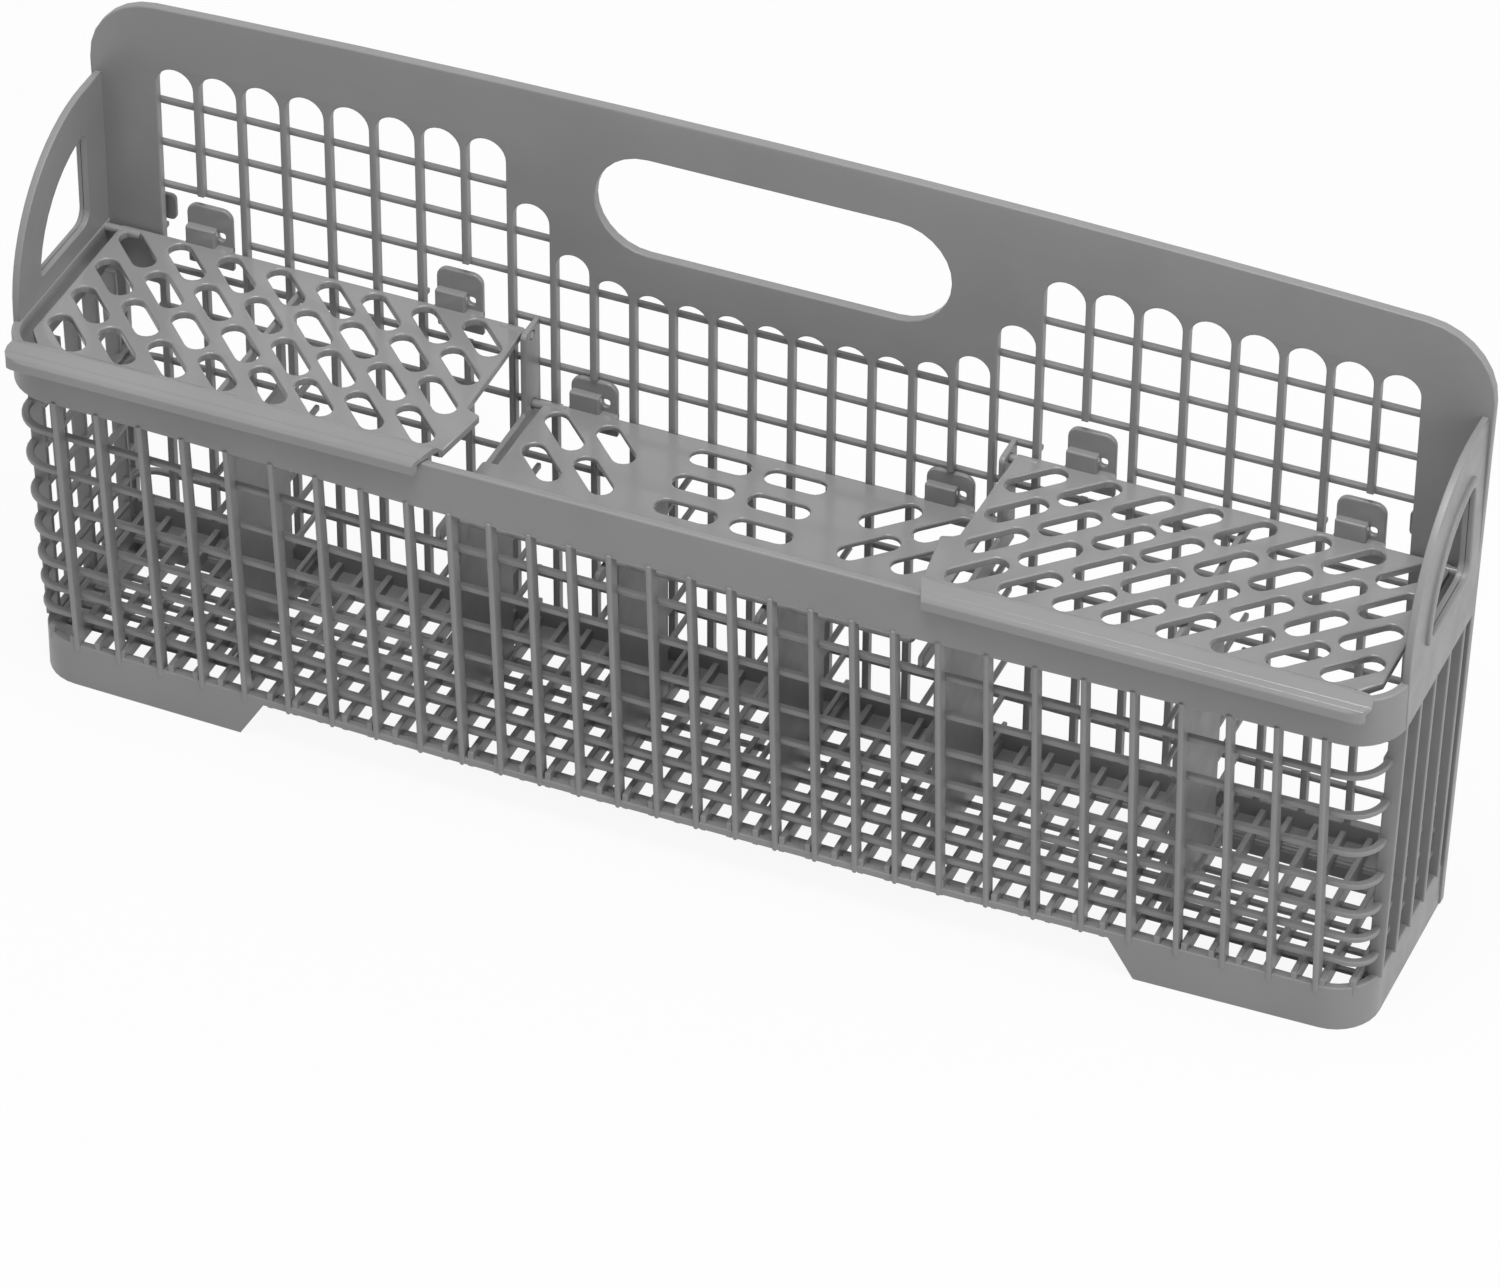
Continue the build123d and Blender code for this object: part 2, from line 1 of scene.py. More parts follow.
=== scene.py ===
# %% [markdown]
# # A dishwasher cutlery basket in moulded grey plastic
# The real basket is one moulding: a tall back panel with arched windows, a lattice tub in front of it and
# seven compartments. Three slotted lids hang on short pins and swing up to the back panel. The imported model
# already has every solid in its place, so this lesson dresses it: each form is made again with rounded edges
# and finer detail, in the same frame, and rides on the body that it belongs to.

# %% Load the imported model
from math import acos, asin, cos, hypot, pi, radians, sin, tan

import bmesh
import bpy
from mathutils import Matrix, Vector


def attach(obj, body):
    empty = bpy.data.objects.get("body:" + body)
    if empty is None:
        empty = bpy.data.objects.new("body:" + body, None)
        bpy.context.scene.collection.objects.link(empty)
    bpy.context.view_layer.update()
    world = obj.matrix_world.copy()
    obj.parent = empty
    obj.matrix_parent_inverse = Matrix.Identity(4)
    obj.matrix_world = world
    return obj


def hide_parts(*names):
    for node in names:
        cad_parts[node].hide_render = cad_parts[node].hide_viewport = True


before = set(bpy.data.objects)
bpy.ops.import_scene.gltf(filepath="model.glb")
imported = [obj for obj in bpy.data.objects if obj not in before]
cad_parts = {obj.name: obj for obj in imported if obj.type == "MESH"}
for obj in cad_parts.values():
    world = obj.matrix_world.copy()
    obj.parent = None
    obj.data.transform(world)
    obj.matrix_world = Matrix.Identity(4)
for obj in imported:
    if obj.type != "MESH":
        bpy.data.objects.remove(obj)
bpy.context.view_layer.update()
MM = 0.001

# %% [markdown]
# ## Camera
# The photograph was taken from above on the right with a long lens, so upright edges stay almost parallel.
# The view is given by its direction, distance and aim point. The image is 1500 by 1288 pixels, and the lens
# follows from the field of view across its width.

# %% Camera at the photograph's viewing angle
VIEW_AZIMUTH = radians(22.718)
VIEW_ELEVATION = radians(38.059)
VIEW_ROLL = radians(0.467)
VIEW_DISTANCE = 2597.5
AIM = Vector((14.5, -9.5, 75.1))
SENSOR = 36.0
LENS = 188.96
FAR_CLIP = 50.0

towards_camera = Vector((
    sin(VIEW_AZIMUTH) * cos(VIEW_ELEVATION),
    -cos(VIEW_AZIMUTH) * cos(VIEW_ELEVATION),
    sin(VIEW_ELEVATION),
))
level_right = Vector((cos(VIEW_AZIMUTH), sin(VIEW_AZIMUTH), 0))
level_up = towards_camera.cross(level_right)
right = cos(VIEW_ROLL) * level_right + sin(VIEW_ROLL) * level_up
up = cos(VIEW_ROLL) * level_up - sin(VIEW_ROLL) * level_right

lens = bpy.data.cameras.new("photo_lens")
lens.sensor_fit = "HORIZONTAL"
lens.sensor_width = SENSOR
lens.lens = LENS
lens.clip_end = FAR_CLIP
camera = bpy.data.objects.new("photo_camera", lens)
bpy.context.scene.collection.objects.link(camera)
turn = Matrix((right, up, towards_camera)).transposed().to_4x4()
camera.matrix_world = Matrix.Translation((AIM + VIEW_DISTANCE * towards_camera) * MM) @ turn
bpy.context.scene.camera = camera
print("camera at mm:", [round(v / MM) for v in camera.matrix_world.translation])

# %% [markdown]
# ## Satin grey plastic
# The basket is a neutral grey polypropylene. A plain colour would look like paint, so three noises at
# different scales give it life: slow clouds in the tone, finer clouds in the roughness, and a very fine grain
# in the bump, as a spark-eroded mould leaves it. All of them read Object coordinates, so the pattern stays on
# the piece when a lid swings. The lids come from a polished mould half: they are smoother, and the strips of
# the back show in them as faint bands.

# %% Plastic finishes
GREY, LID_TONE = 0.235, 1.03
TONE_SPREAD = 0.05
CLOUD_SIZE = 45.0
SHEEN_SIZE = 9.0
GRAIN_SIZE = 0.35
GRAIN_DEPTH = 0.02
NOISE_LOW, NOISE_HIGH = 0.3, 0.7


def noise(nodes, links, coordinates, size, detail):
    """A noise whose features are about size millimetres across."""
    texture = nodes.new("ShaderNodeTexNoise")
    texture.inputs["Scale"].default_value = 1 / (size * MM)
    texture.inputs["Detail"].default_value = detail
    links.new(coordinates, texture.inputs["Vector"])
    return texture.outputs["Fac"]


def spread(nodes, links, value, low, high):
    """Stretch the middle of a noise over the range from low to high."""
    remap = nodes.new("ShaderNodeMapRange")
    remap.inputs["From Min"].default_value = NOISE_LOW
    remap.inputs["From Max"].default_value = NOISE_HIGH
    remap.inputs["To Min"].default_value = low
    remap.inputs["To Max"].default_value = high
    links.new(value, remap.inputs["Value"])
    return remap.outputs["Result"]


def moulded_plastic(name, tone, smooth, rough, grain):
    """Plastic with cloudy tone, uneven sheen and a fine grain."""
    material = bpy.data.materials.new(name)
    material.use_nodes = True
    nodes, links = material.node_tree.nodes, material.node_tree.links
    shader = nodes["Principled BSDF"]
    coordinates = nodes.new("ShaderNodeTexCoord").outputs["Object"]
    clouds = noise(nodes, links, coordinates, CLOUD_SIZE, detail=3)
    brightness = spread(nodes, links, clouds, tone * (1 - TONE_SPREAD), tone * (1 + TONE_SPREAD))
    colour = nodes.new("ShaderNodeCombineColor")
    for channel in ("Red", "Green", "Blue"):
        links.new(brightness, colour.inputs[channel])
    links.new(colour.outputs["Color"], shader.inputs["Base Color"])
    sheen = noise(nodes, links, coordinates, SHEEN_SIZE, detail=2)
    links.new(spread(nodes, links, sheen, smooth, rough), shader.inputs["Roughness"])
    bump = nodes.new("ShaderNodeBump")
    bump.inputs["Strength"].default_value = grain
    bump.inputs["Distance"].default_value = GRAIN_DEPTH * MM
    fine = noise(nodes, links, coordinates, GRAIN_SIZE, detail=2)
    links.new(fine, bump.inputs["Height"])
    links.new(bump.outputs["Normal"], shader.inputs["Normal"])
    return material


basket_plastic = moulded_plastic("basket_plastic", GREY, smooth=0.34, rough=0.46, grain=0.25)
lid_plastic = moulded_plastic("lid_plastic", GREY * LID_TONE, smooth=0.14, rough=0.22, grain=0.06)
print("finishes:", basket_plastic.name, lid_plastic.name)

# %% [markdown]
# ## Plates with rounded edges
# Most of the basket is flat plate with windows in it. A flat curve is the neatest way to make one: each
# closed line is an outline or a hole, Blender fills between them, and the curve's own bevel rounds every edge
# by the same amount. The lines are corners with a radius, and Bezier handles turn each into a true round.

# %% Flat curves from corners with radii
EDGE, WIDE_EDGE = 0.4, 0.6
# A full round is drawn a hair short of half the width, so its two arcs never share a point.
ROUND_TRIM = 0.01
ON_XY = Matrix.Identity(4)
ON_XZ = Matrix(((1, 0, 0, 0), (0, 0, -1, 0), (0, 1, 0, 0), (0, 0, 0, 1)))
ON_YZ = Matrix(((0, 0, 1, 0), (1, 0, 0, 0), (0, 1, 0, 0), (0, 0, 0, 1)))


def bezier_knots(corners):
    """Knots for a closed line of (x, y, radius) corners: place, and the round's handle on either side."""
    knots = []
    for k, (x, y, radius) in enumerate(corners):
        here = Vector((x, y, 0))
        before = Vector((*corners[k - 1][:2], 0)) - here
        after = Vector((*corners[(k + 1) % len(corners)][:2], 0)) - here
        if radius == 0:
            knots.append((here, None, None))
            continue
        opening = before.angle(after)
        reach = radius / tan(opening / 2)
        pull = reach - radius * tan((pi - opening) / 4) * 4 / 3
        enter, leave = before.normalized(), after.normalized()
        knots.append((here + enter * reach, None, here + enter * pull))
        knots.append((here + leave * reach, here + leave * pull, None))
    return knots


def add_line(curve, corners):
    """Add one closed line to a flat curve."""
    knots = bezier_knots(corners)
    spline = curve.splines.new("BEZIER")
    spline.use_cyclic_u = True
    spline.bezier_points.add(len(knots) - 1)
    for point, (place, left, right_handle) in zip(spline.bezier_points, knots):
        point.co = place
        point.handle_left_type = "FREE" if left else "VECTOR"
        point.handle_right_type = "FREE" if right_handle else "VECTOR"
        point.handle_left = left or place
        point.handle_right = right_handle or place


def add_plate(bm, plane, middle, thickness, outline, holes=(), edge=EDGE, steps=5):
    """Add a plate with holes to a bmesh. Its plane faces one axis, with its mid-plane at middle on it."""
    curve = bpy.data.curves.new("plate", "CURVE")
    curve.dimensions = "2D"
    curve.fill_mode = "BOTH"
    curve.resolution_u = steps
    curve.extrude = thickness / 2 - edge
    curve.bevel_depth = edge
    curve.bevel_resolution = 1 if edge < WIDE_EDGE else 2
    curve.offset = -edge
    for corners in (outline, *holes):
        add_line(curve, corners)
    solid = bpy.data.objects.new("plate", curve)
    mesh = bpy.data.meshes.new_from_object(solid)
    mesh.transform(plane @ Matrix.Translation((0, 0, -middle if plane == ON_XZ else middle)))
    bm.from_mesh(mesh)
    bpy.data.meshes.remove(mesh)
    bpy.data.objects.remove(solid)
    bpy.data.curves.remove(curve)


print("plates have edges rounded by", EDGE, "mm unless they say otherwise")

# %% Bars and cuts
WELD = 0.001


def weld(bm):
    """Make one point of points that lie in the same place."""
    bmesh.ops.remove_doubles(bm, verts=bm.verts, dist=WELD)


def edges_of(verts):
    """The edges at some points, each once and always in the same order."""
    return list(dict.fromkeys(line for vert in verts for line in vert.link_edges))


def round_edges(bm, edges, radius):
    """Round some edges of a bmesh."""
    bmesh.ops.bevel(bm, geom=edges, offset=radius, affect="EDGES", segments=2, profile=0.5, material=-1)


def add_bar(bm, low, high, edge=EDGE):
    """Add a straight bar with rounded edges between two corners."""
    low, high = Vector(low), Vector(high)
    place = Matrix.Translation((low + high) / 2) @ Matrix.Diagonal((*(high - low), 1))
    verts = bmesh.ops.create_cube(bm, size=1, matrix=place)["verts"]
    round_edges(bm, edges_of(verts), edge)


def cut_away(bm, place, normal):
    """Cut a bmesh with a plane through place, drop the side that the normal points to and close the cut."""
    geom = [*bm.verts, *bm.edges, *bm.faces]
    made = bmesh.ops.bisect_plane(bm, geom=geom, plane_co=place, plane_no=normal, clear_outer=True)
    loop = [part for part in made["geom_cut"] if isinstance(part, bmesh.types.BMEdge)]
    bmesh.ops.holes_fill(bm, edges=loop, sides=0)


def cut_along(bm, corners):
    """Cut a bmesh with upright planes along a line of (x, y) corners, and drop what lies right of it."""
    for (x0, y0), (x1, y1) in zip(corners, corners[1:]):
        cut_away(bm, (x0, y0, 0), Vector((y1 - y0, x0 - x1, 0)).normalized())


def join(bm, other):
    """Move the shape of another bmesh into this one."""
    mesh = bpy.data.meshes.new("joined")
    other.to_mesh(mesh)
    other.free()
    bm.from_mesh(mesh)
    bpy.data.meshes.remove(mesh)


def mirror_copy(bm):
    """A copy of a bmesh on the other side of the middle."""
    other = bm.copy()
    bmesh.ops.scale(other, vec=(-1, 1, 1), verts=other.verts)
    return other


print("bars, cuts and mirrored copies are ready")

# %% Corner lists and finished pieces
SHARP_ANGLE = radians(50)


def mirrored(corners):
    """The same corners on the other side of the middle, in the same turning direction."""
    return [(-x, y, radius) for x, y, radius in reversed(corners)]


def box_hole(x, y, width, height, radius):
    """Corners of a rectangle about a middle point, with rounded corners."""
    return [
        (x - width / 2, y - height / 2, radius),
        (x + width / 2, y - height / 2, radius),
        (x + width / 2, y + height / 2, radius),
        (x - width / 2, y + height / 2, radius),
    ]


def show(bm, name, body, material):
    """Turn a bmesh in millimetres into a finished piece that rides on a body, and hide the imported part of
    that name.
    """
    weld(bm)
    bmesh.ops.recalc_face_normals(bm, faces=bm.faces)
    bmesh.ops.scale(bm, vec=(MM, MM, MM), verts=bm.verts)
    mesh = bpy.data.meshes.new(name)
    bm.to_mesh(mesh)
    bm.free()
    mesh.polygons.foreach_set("use_smooth", [True] * len(mesh.polygons))
    mesh.set_sharp_from_angle(angle=SHARP_ANGLE)
    mesh.materials.append(material)
    piece = bpy.data.objects.new(name, mesh)
    bpy.context.scene.collection.objects.link(piece)
    even = piece.modifiers.new("even_shading", "WEIGHTED_NORMAL")
    even.keep_sharp = True
    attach(piece, body)
    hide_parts(body)
    triangles = sum(len(face.vertices) - 2 for face in mesh.polygons)
    print(f"{name}: {triangles} triangles")


print("faces that meet at less than", round(SHARP_ANGLE * 180 / pi), "degrees shade as one")

# %% [markdown]
# ## Back panel
# The tall back carries the whole basket. Its windows stand between the lattice's columns, with round tops
# that step up beside the handle. Where a lid's tab swings through, two windows open into one, and under the
# rim a plain window at each end opens the corner. The panel is one plate with those windows as holes, so
# its strips are the plastic that is left between them.

# %% Lattice columns and the panel's sizes
PANEL_Y, PANEL_T = 40.5, 3.5
PANEL_REAR = PANEL_Y + PANEL_T
PANEL_HALF, PANEL_FOOT_HALF = 247.5, 242.4
PANEL_SHOULDER_Z, PANEL_TOP, CROWN_DROP, PANEL_CORNER_R = 205.0, 237.9, 6.1, 25.5
HANDLE_L, HANDLE_H, HANDLE_Z = 126.0, 38.0, 201.5
BAND_BOTTOM, FOOT_X, FOOT_SLANT = 15.2, 162.5, 9.5
DIVIDER_X = (28.35, 85.5, 168.4)
CELL_EDGES = (*DIVIDER_X, 232.2)
CELL_COLUMNS = (4, 5, 4)
STRIP_W = 2.4
WINDOW_BOTTOM, ARCH_BORDER, ARCH_BELOW_HANDLE = 24.0, 23.7, 16.0
ARCH_STEPS = (0.0, 0.0, 0.0, 2.0, 8.5, 25.0)
BACK_BAR, BACK_BAR_D, BACK_ROW_TOP, BACK_ROW_PITCH, BACK_ROWS = 2.0, 1.8, 196.6, 17.1, 6
SIDE_TAB_COLUMNS, MID_TAB_COLUMN, TAB_ROW = (7, 13), 4, 4

columns = [DIVIDER_X[0] / 4, DIVIDER_X[0] * 3 / 4]
for start, stop, count in zip(CELL_EDGES, CELL_EDGES[1:], CELL_COLUMNS):
    columns += [start + (stop - start) * (k + 0.5) / count for k in range(count)]
all_columns = sorted([-x for x in columns] + columns)
back_rows = [BACK_ROW_TOP - BACK_ROW_PITCH * k for k in range(BACK_ROWS)]
tab_window_h = 2 * BACK_ROW_PITCH - BACK_BAR
tab_z = back_rows[TAB_ROW]
tab_windows = {k: (tab_z, tab_z + tab_window_h) for k in SIDE_TAB_COLUMNS}
tab_windows[MID_TAB_COLUMN] = (tab_z - BACK_BAR - tab_window_h, tab_z - BACK_BAR)
print("columns on one side:", [round(x, 1) for x in columns])


def crown_z(x):
    """Height of the crowned top edge of the panel at x."""
    return PANEL_TOP - CROWN_DROP * (x / PANEL_HALF) ** 2


def arch_top(k):
    """Top of the window outside column k."""
    if k < len(ARCH_STEPS):
        return HANDLE_Z - HANDLE_H / 2 - ARCH_BELOW_HANDLE + ARCH_STEPS[k]
    return crown_z((columns[k] + columns[k + 1]) / 2) - ARCH_BORDER


# %% Window shapes
WINDOW_R = 0.8


def window_sides(k):
    """Left and right edge of the window outside column k."""
    return columns[k] + STRIP_W / 2, columns[k + 1] - STRIP_W / 2


def single_window(x0, x1, top):
    """Corners of one arched window."""
    arch = (x1 - x0) / 2 - ROUND_TRIM
    return [
        (x0, WINDOW_BOTTOM, WINDOW_R),
        (x1, WINDOW_BOTTOM, WINDOW_R),
        (x1, top, arch),
        (x0, top, arch),
    ]


def double_window(k):
    """Corners of two arched windows that are open to each other where a tab swings."""
    x0, strip_left = window_sides(k - 1)
    strip_right, x1 = window_sides(k)
    low, high = tab_windows[k]
    left = single_window(x0, strip_left, arch_top(k - 1))
    right_side = single_window(strip_right, x1, arch_top(k))
    return [
        *left[:2],
        (strip_left, low, 0),
        (strip_right, low, 0),
        *right_side,
        (strip_right, high, 0),
        (strip_left, high, 0),
        *left[2:],
    ]


print("window tops:", [round(arch_top(k), 1) for k in range(len(columns) - 1)])

# %% Panel outline and windows
CROWN_POINTS, CROWN_SHARE = 9, 0.8
END_POST, END_WINDOW_TOP = 4.0, 120.0

half_outline = [
    (FOOT_X - FOOT_SLANT, BAND_BOTTOM, 1),
    (FOOT_X, 0, 1),
    (PANEL_FOOT_HALF, 0, 1.5),
    (PANEL_HALF, PANEL_SHOULDER_Z, 0),
    (PANEL_HALF, crown_z(PANEL_HALF), PANEL_CORNER_R),
]
crown = [PANEL_HALF * CROWN_SHARE * (1 - 2 * k / (CROWN_POINTS - 1)) for k in range(CROWN_POINTS)]
panel_outline = half_outline + [(x, crown_z(x), 0) for x in crown] + mirrored(half_outline)
handle = box_hole(0, HANDLE_Z, HANDLE_L, HANDLE_H, HANDLE_H / 2 - ROUND_TRIM)
windows = []
for k in range(len(columns) - 1):
    if k in tab_windows:
        windows.append(double_window(k))
    elif k + 1 not in tab_windows:
        windows.append(single_window(*window_sides(k), arch_top(k)))
end_x0, end_x1 = columns[-1] + STRIP_W / 2, PANEL_FOOT_HALF - END_POST
end_window = box_hole(
    (end_x0 + end_x1) / 2,
    (WINDOW_BOTTOM + END_WINDOW_TOP) / 2,
    end_x1 - end_x0,
    END_WINDOW_TOP - WINDOW_BOTTOM,
    WINDOW_R,
)
windows.append(end_window)
middle_edge = columns[0] - STRIP_W / 2
middle_window = single_window(-middle_edge, middle_edge, arch_top(0))
holes = [handle, middle_window, *windows, *[mirrored(window) for window in windows]]

bm = bmesh.new()
add_plate(bm, ON_XZ, PANEL_Y + PANEL_T / 2, PANEL_T, panel_outline, holes, edge=0.5, steps=7)
show(bm, "back_panel", "basket", basket_plastic)

# %% [markdown]
# ## Bars behind the panel
# Square bars run across the back of the strips and make the grid that shows through the windows. They stop
# at the double windows, and the top two rows stop where the panel is closed beside the handle. The low rows
# cross the windows at the ends and bend round to the tub's ends.

# %% Back bars
BAR_LAP, ROW_DROP, LOW_ROW_PITCH, LOW_ROWS = 3.5, 1.8, 24.7, 3
SHORT_ROWS, SHORT_ROW_COLUMN = 2, 6
BEND_X, BEND_R, BEND_W, BEND_TAIL = 240.4, 11.0, 2.4, 1.0
# Faces that would lie in the same place are kept this far apart.
SEAM = 0.02
low_rows = [back_rows[-1] - LOW_ROW_PITCH * (k + 1) for k in range(LOW_ROWS)]
row_end = columns[-1] + BAR_LAP
bar_rear = PANEL_REAR + BACK_BAR_D
bend_rear, bend_inside = bar_rear - SEAM, bar_rear - BEND_W
bend = [
    (row_end - BAR_LAP, bend_inside, 0),
    (BEND_X - BEND_W, bend_inside, BEND_R - BEND_W),
    (BEND_X - BEND_W, bend_rear - BEND_R - BEND_TAIL, 0),
    (BEND_X, bend_rear - BEND_R - BEND_TAIL, 0),
    (BEND_X, bend_rear, BEND_R),
    (row_end - BAR_LAP, bend_rear, 0),
]


def runs_between(start, stop, gaps):
    """The parts of start to stop that lie outside the gaps."""
    runs = []
    for low, high in sorted(gaps):
        if start < low < stop:
            runs.append((start, low))
            start = high
    return runs + [(start, stop)]


bm = bmesh.new()
for row, z in enumerate([*back_rows, *low_rows]):
    gaps = [
        (columns[k - 1] + STRIP_W / 2, columns[k + 1] - STRIP_W / 2)
        for k, (low, high) in tab_windows.items()
        if low < z - BACK_BAR / 2 < high
    ]
    if row < SHORT_ROWS:
        inner = columns[SHORT_ROW_COLUMN - row] - BAR_LAP
        gaps.append((-inner, inner))
    gaps += [(-high, -low) for low, high in gaps if low > 0]
    bar_top = z if z in low_rows else z - ROW_DROP
    for x0, x1 in runs_between(-row_end, row_end, gaps):
        low = (x0, PANEL_REAR - EDGE, bar_top - BACK_BAR)
        add_bar(bm, low, (x1, bar_rear, bar_top), edge=0.5)
    if z in low_rows:
        for corners in (bend, mirrored(bend)):
            add_plate(bm, ON_XY, z - BACK_BAR / 2, BACK_BAR - 2 * SEAM, corners, edge=0.5, steps=6)
show(bm, "back_bars", "basket", basket_plastic)

# %% [markdown]
# ## Rim, skirt and front bars
# The tub's front is bowed a little and its corners are round. Rim, skirt and every front bar follow the same
# kind of U-shaped plan at their own height, so one function gives the plan: an outer line and the same line
# moved in by the wall. As flat curves they get their rounded edges for free. The front bars reach further
# out on the left than on the right, as in the photograph.

# %% Rim band
RIM_TOP, RIM_BOTTOM, RIM_HALF, RIM_CORNER_R, RIM_WALL = 142.4, 123.7, 246.0, 18.0, 3.0
FRONT_Y, LEAN, BOW_SLOPE = -43.8, 0.0625, 0.0229
BOW_X = DIVIDER_X[1]
wall_back = PANEL_Y + PANEL_T / 4


def front_y(x, z):
    """Outer face of the leaning, slightly bowed front at x and z."""
    return FRONT_Y + LEAN * (RIM_BOTTOM - z) + BOW_SLOPE * max(0.0, abs(x) - BOW_X)


def u_plan(half, front, radius, wall, back):
    """Corners of a U-shaped wall: bowed front, round corners, straight ends."""
    corner = front + BOW_SLOPE * (half - BOW_X)
    right_half = [
        (BOW_X, front, 0),
        (half, corner, radius),
        (half, back, 0),
        (half - wall, back, 0),
        (half - wall, corner + wall, max(radius - wall, 0.5)),
        (BOW_X, front + wall, 0),
    ]
    return right_half + mirrored(right_half)


bm = bmesh.new()
plan = u_plan(RIM_HALF, FRONT_Y, RIM_CORNER_R, RIM_WALL, wall_back)
add_plate(bm, ON_XY, (RIM_TOP + RIM_BOTTOM) / 2, RIM_TOP - RIM_BOTTOM, plan, edge=0.7, steps=10)
show(bm, "rim", "basket", basket_plastic)

# %% Skirt with two feet
SKIRT_TOP, SKIRT_HALF, SKIRT_CORNER_R, SKIRT_WALL = 17.7, 241.8, 16.0, 3.0
slant = Vector((BAND_BOTTOM, 0, FOOT_SLANT)).normalized()


def skirt_wall():
    """The whole wall of the skirt, before it is cut."""
    bm = bmesh.new()
    plan = u_plan(SKIRT_HALF, front_y(0, SKIRT_TOP), SKIRT_CORNER_R, SKIRT_WALL, wall_back)
    add_plate(bm, ON_XY, SKIRT_TOP / 2, SKIRT_TOP, plan, edge=0.6, steps=8)
    weld(bm)
    return bm


foot = skirt_wall()
cut_away(foot, (FOOT_X, 0, 0), -slant)
other_foot = mirror_copy(foot)
bm = skirt_wall()
cut_away(bm, (0, 0, BAND_BOTTOM), (0, 0, -1))
cut_away(bm, (FOOT_X + SEAM, 0, 0), slant)
cut_away(bm, (-FOOT_X - SEAM, 0, 0), (-slant.x, 0, slant.z))
join(bm, foot)
join(bm, other_foot)
show(bm, "skirt", "basket", basket_plastic)

# %% [markdown]
# The front ribs lean with the wall. Each stands a little proud of the rim and the band, has a round front and
# ends in a short tip at both ends, so a rib is drawn from its side and gets its round front from the edge.

# %% Leaning front ribs
RIB_W, RIB_D, RIB_PROUD, RIB_ROUND, RIB_TIP = 2.1, 4.5, 0.6, 0.8, 1.6
RIB_FOOT, RIB_SLANT, ROOT_IN_SKIRT, ROOT_IN_RIM = 0.4, 0.4, 0.5, 1.0

bm = bmesh.new()
for x in all_columns:
    low, high = BAND_BOTTOM - RIB_FOOT, RIM_BOTTOM + RIB_TIP
    side_view = [
        (front_y(x, low) - RIB_PROUD, low, 0),
        (front_y(x, SKIRT_TOP) + RIB_D, SKIRT_TOP - ROOT_IN_SKIRT, 0),
        (front_y(x, RIM_BOTTOM) + RIB_D, RIM_BOTTOM + ROOT_IN_RIM, 0),
        (front_y(x, high) + RIB_PROUD, high, 0),
        (front_y(x, high) - RIB_PROUD, high - RIB_SLANT, 0),
    ]
    add_plate(bm, ON_YZ, x, RIB_W, side_view, edge=RIB_ROUND)
show(bm, "front_ribs", "basket", basket_plastic)

# %% Front bars with bent corners
BAR = 2.0
FRONT_BAR_Z = (105.5, 89.0, 73.0, 59.0, 46.5, 36.0, 25.5)
BAR_RIGHT, BAR_LEFT_TOP, BAR_LEFT_TAPER, CORNER_BAR_W = 241.2, 245.2, 0.04, 2.7
BEND_SPARE = 0.5
FIN_COUNT, FIN_PITCH, FIN_FROM_PANEL, FIN_T, FIN_ROOT = 5, 13.95, 5.1, 2.0, 1.0
FIN_OUT_TOP, FIN_OUT_BOTTOM, FIN_IN_TOP, FIN_IN_BOTTOM = 245.1, 242.6, 239.2, 237.4
END_BAR_X, END_BAR_INSET = 239.8, 0.1
fins_y = [PANEL_Y - FIN_FROM_PANEL - FIN_PITCH * k for k in range(FIN_COUNT)]
first_fin = min(fins_y)

bm = bmesh.new()
for z in FRONT_BAR_Z:
    front = front_y(0, z) + RIB_D - EDGE
    bend_r = first_fin - front_y(BAR_RIGHT, z) - RIB_D - BEND_SPARE
    bar_left = BAR_LEFT_TOP - BAR_LEFT_TAPER * (FRONT_BAR_Z[0] - z)
    half = (bar_left + BAR_RIGHT) / 2
    plan = u_plan(half, front, bend_r, CORNER_BAR_W, first_fin + FIN_T / 4)
    plan = [(x + BAR_RIGHT - half, y, radius) for x, y, radius in plan]
    add_plate(bm, ON_XY, z + BAR / 2, BAR, plan, edge=0.6, steps=8)
show(bm, "front_bars", "basket", basket_plastic)

# %% [markdown]
# ## Ends of the tub
# Each end has five upright fins, with plain bars behind them that run from the front bars' bends to the
# panel. The fins widen towards the rim.

# %% End fins and bars
bm = bmesh.new()
for y in fins_y:
    fin = [
        (FIN_IN_BOTTOM, SKIRT_TOP - FIN_ROOT, 0),
        (FIN_OUT_BOTTOM, SKIRT_TOP - FIN_ROOT, 0),
        (FIN_OUT_TOP, RIM_BOTTOM + FIN_ROOT, 0),
        (FIN_IN_TOP, RIM_BOTTOM + FIN_ROOT, 0),
    ]
    for corners in (fin, mirrored(fin)):
        add_plate(bm, ON_XZ, y, FIN_T, corners, edge=0.6)
for z in FRONT_BAR_Z:
    for side in (-1, 1):
        x0, x1 = sorted((side * (END_BAR_X + EDGE), side * (END_BAR_X - BAR)))
        low = (x0, first_fin - FIN_T / 2 + END_BAR_INSET, z)
        add_bar(bm, low, (x1, PANEL_Y + EDGE, z + BAR))
show(bm, "tub_ends", "basket", basket_plastic)

# %% [markdown]
# ## Floor
# The floor is a fine grid. Tall crossbars run from front to back and show as a row of small ends under the
# front band, thin runners tie them together along the length, and a closed strip joins the grid to the back.
# All of them are plain bars at different levels, so no two faces lie in the same place.

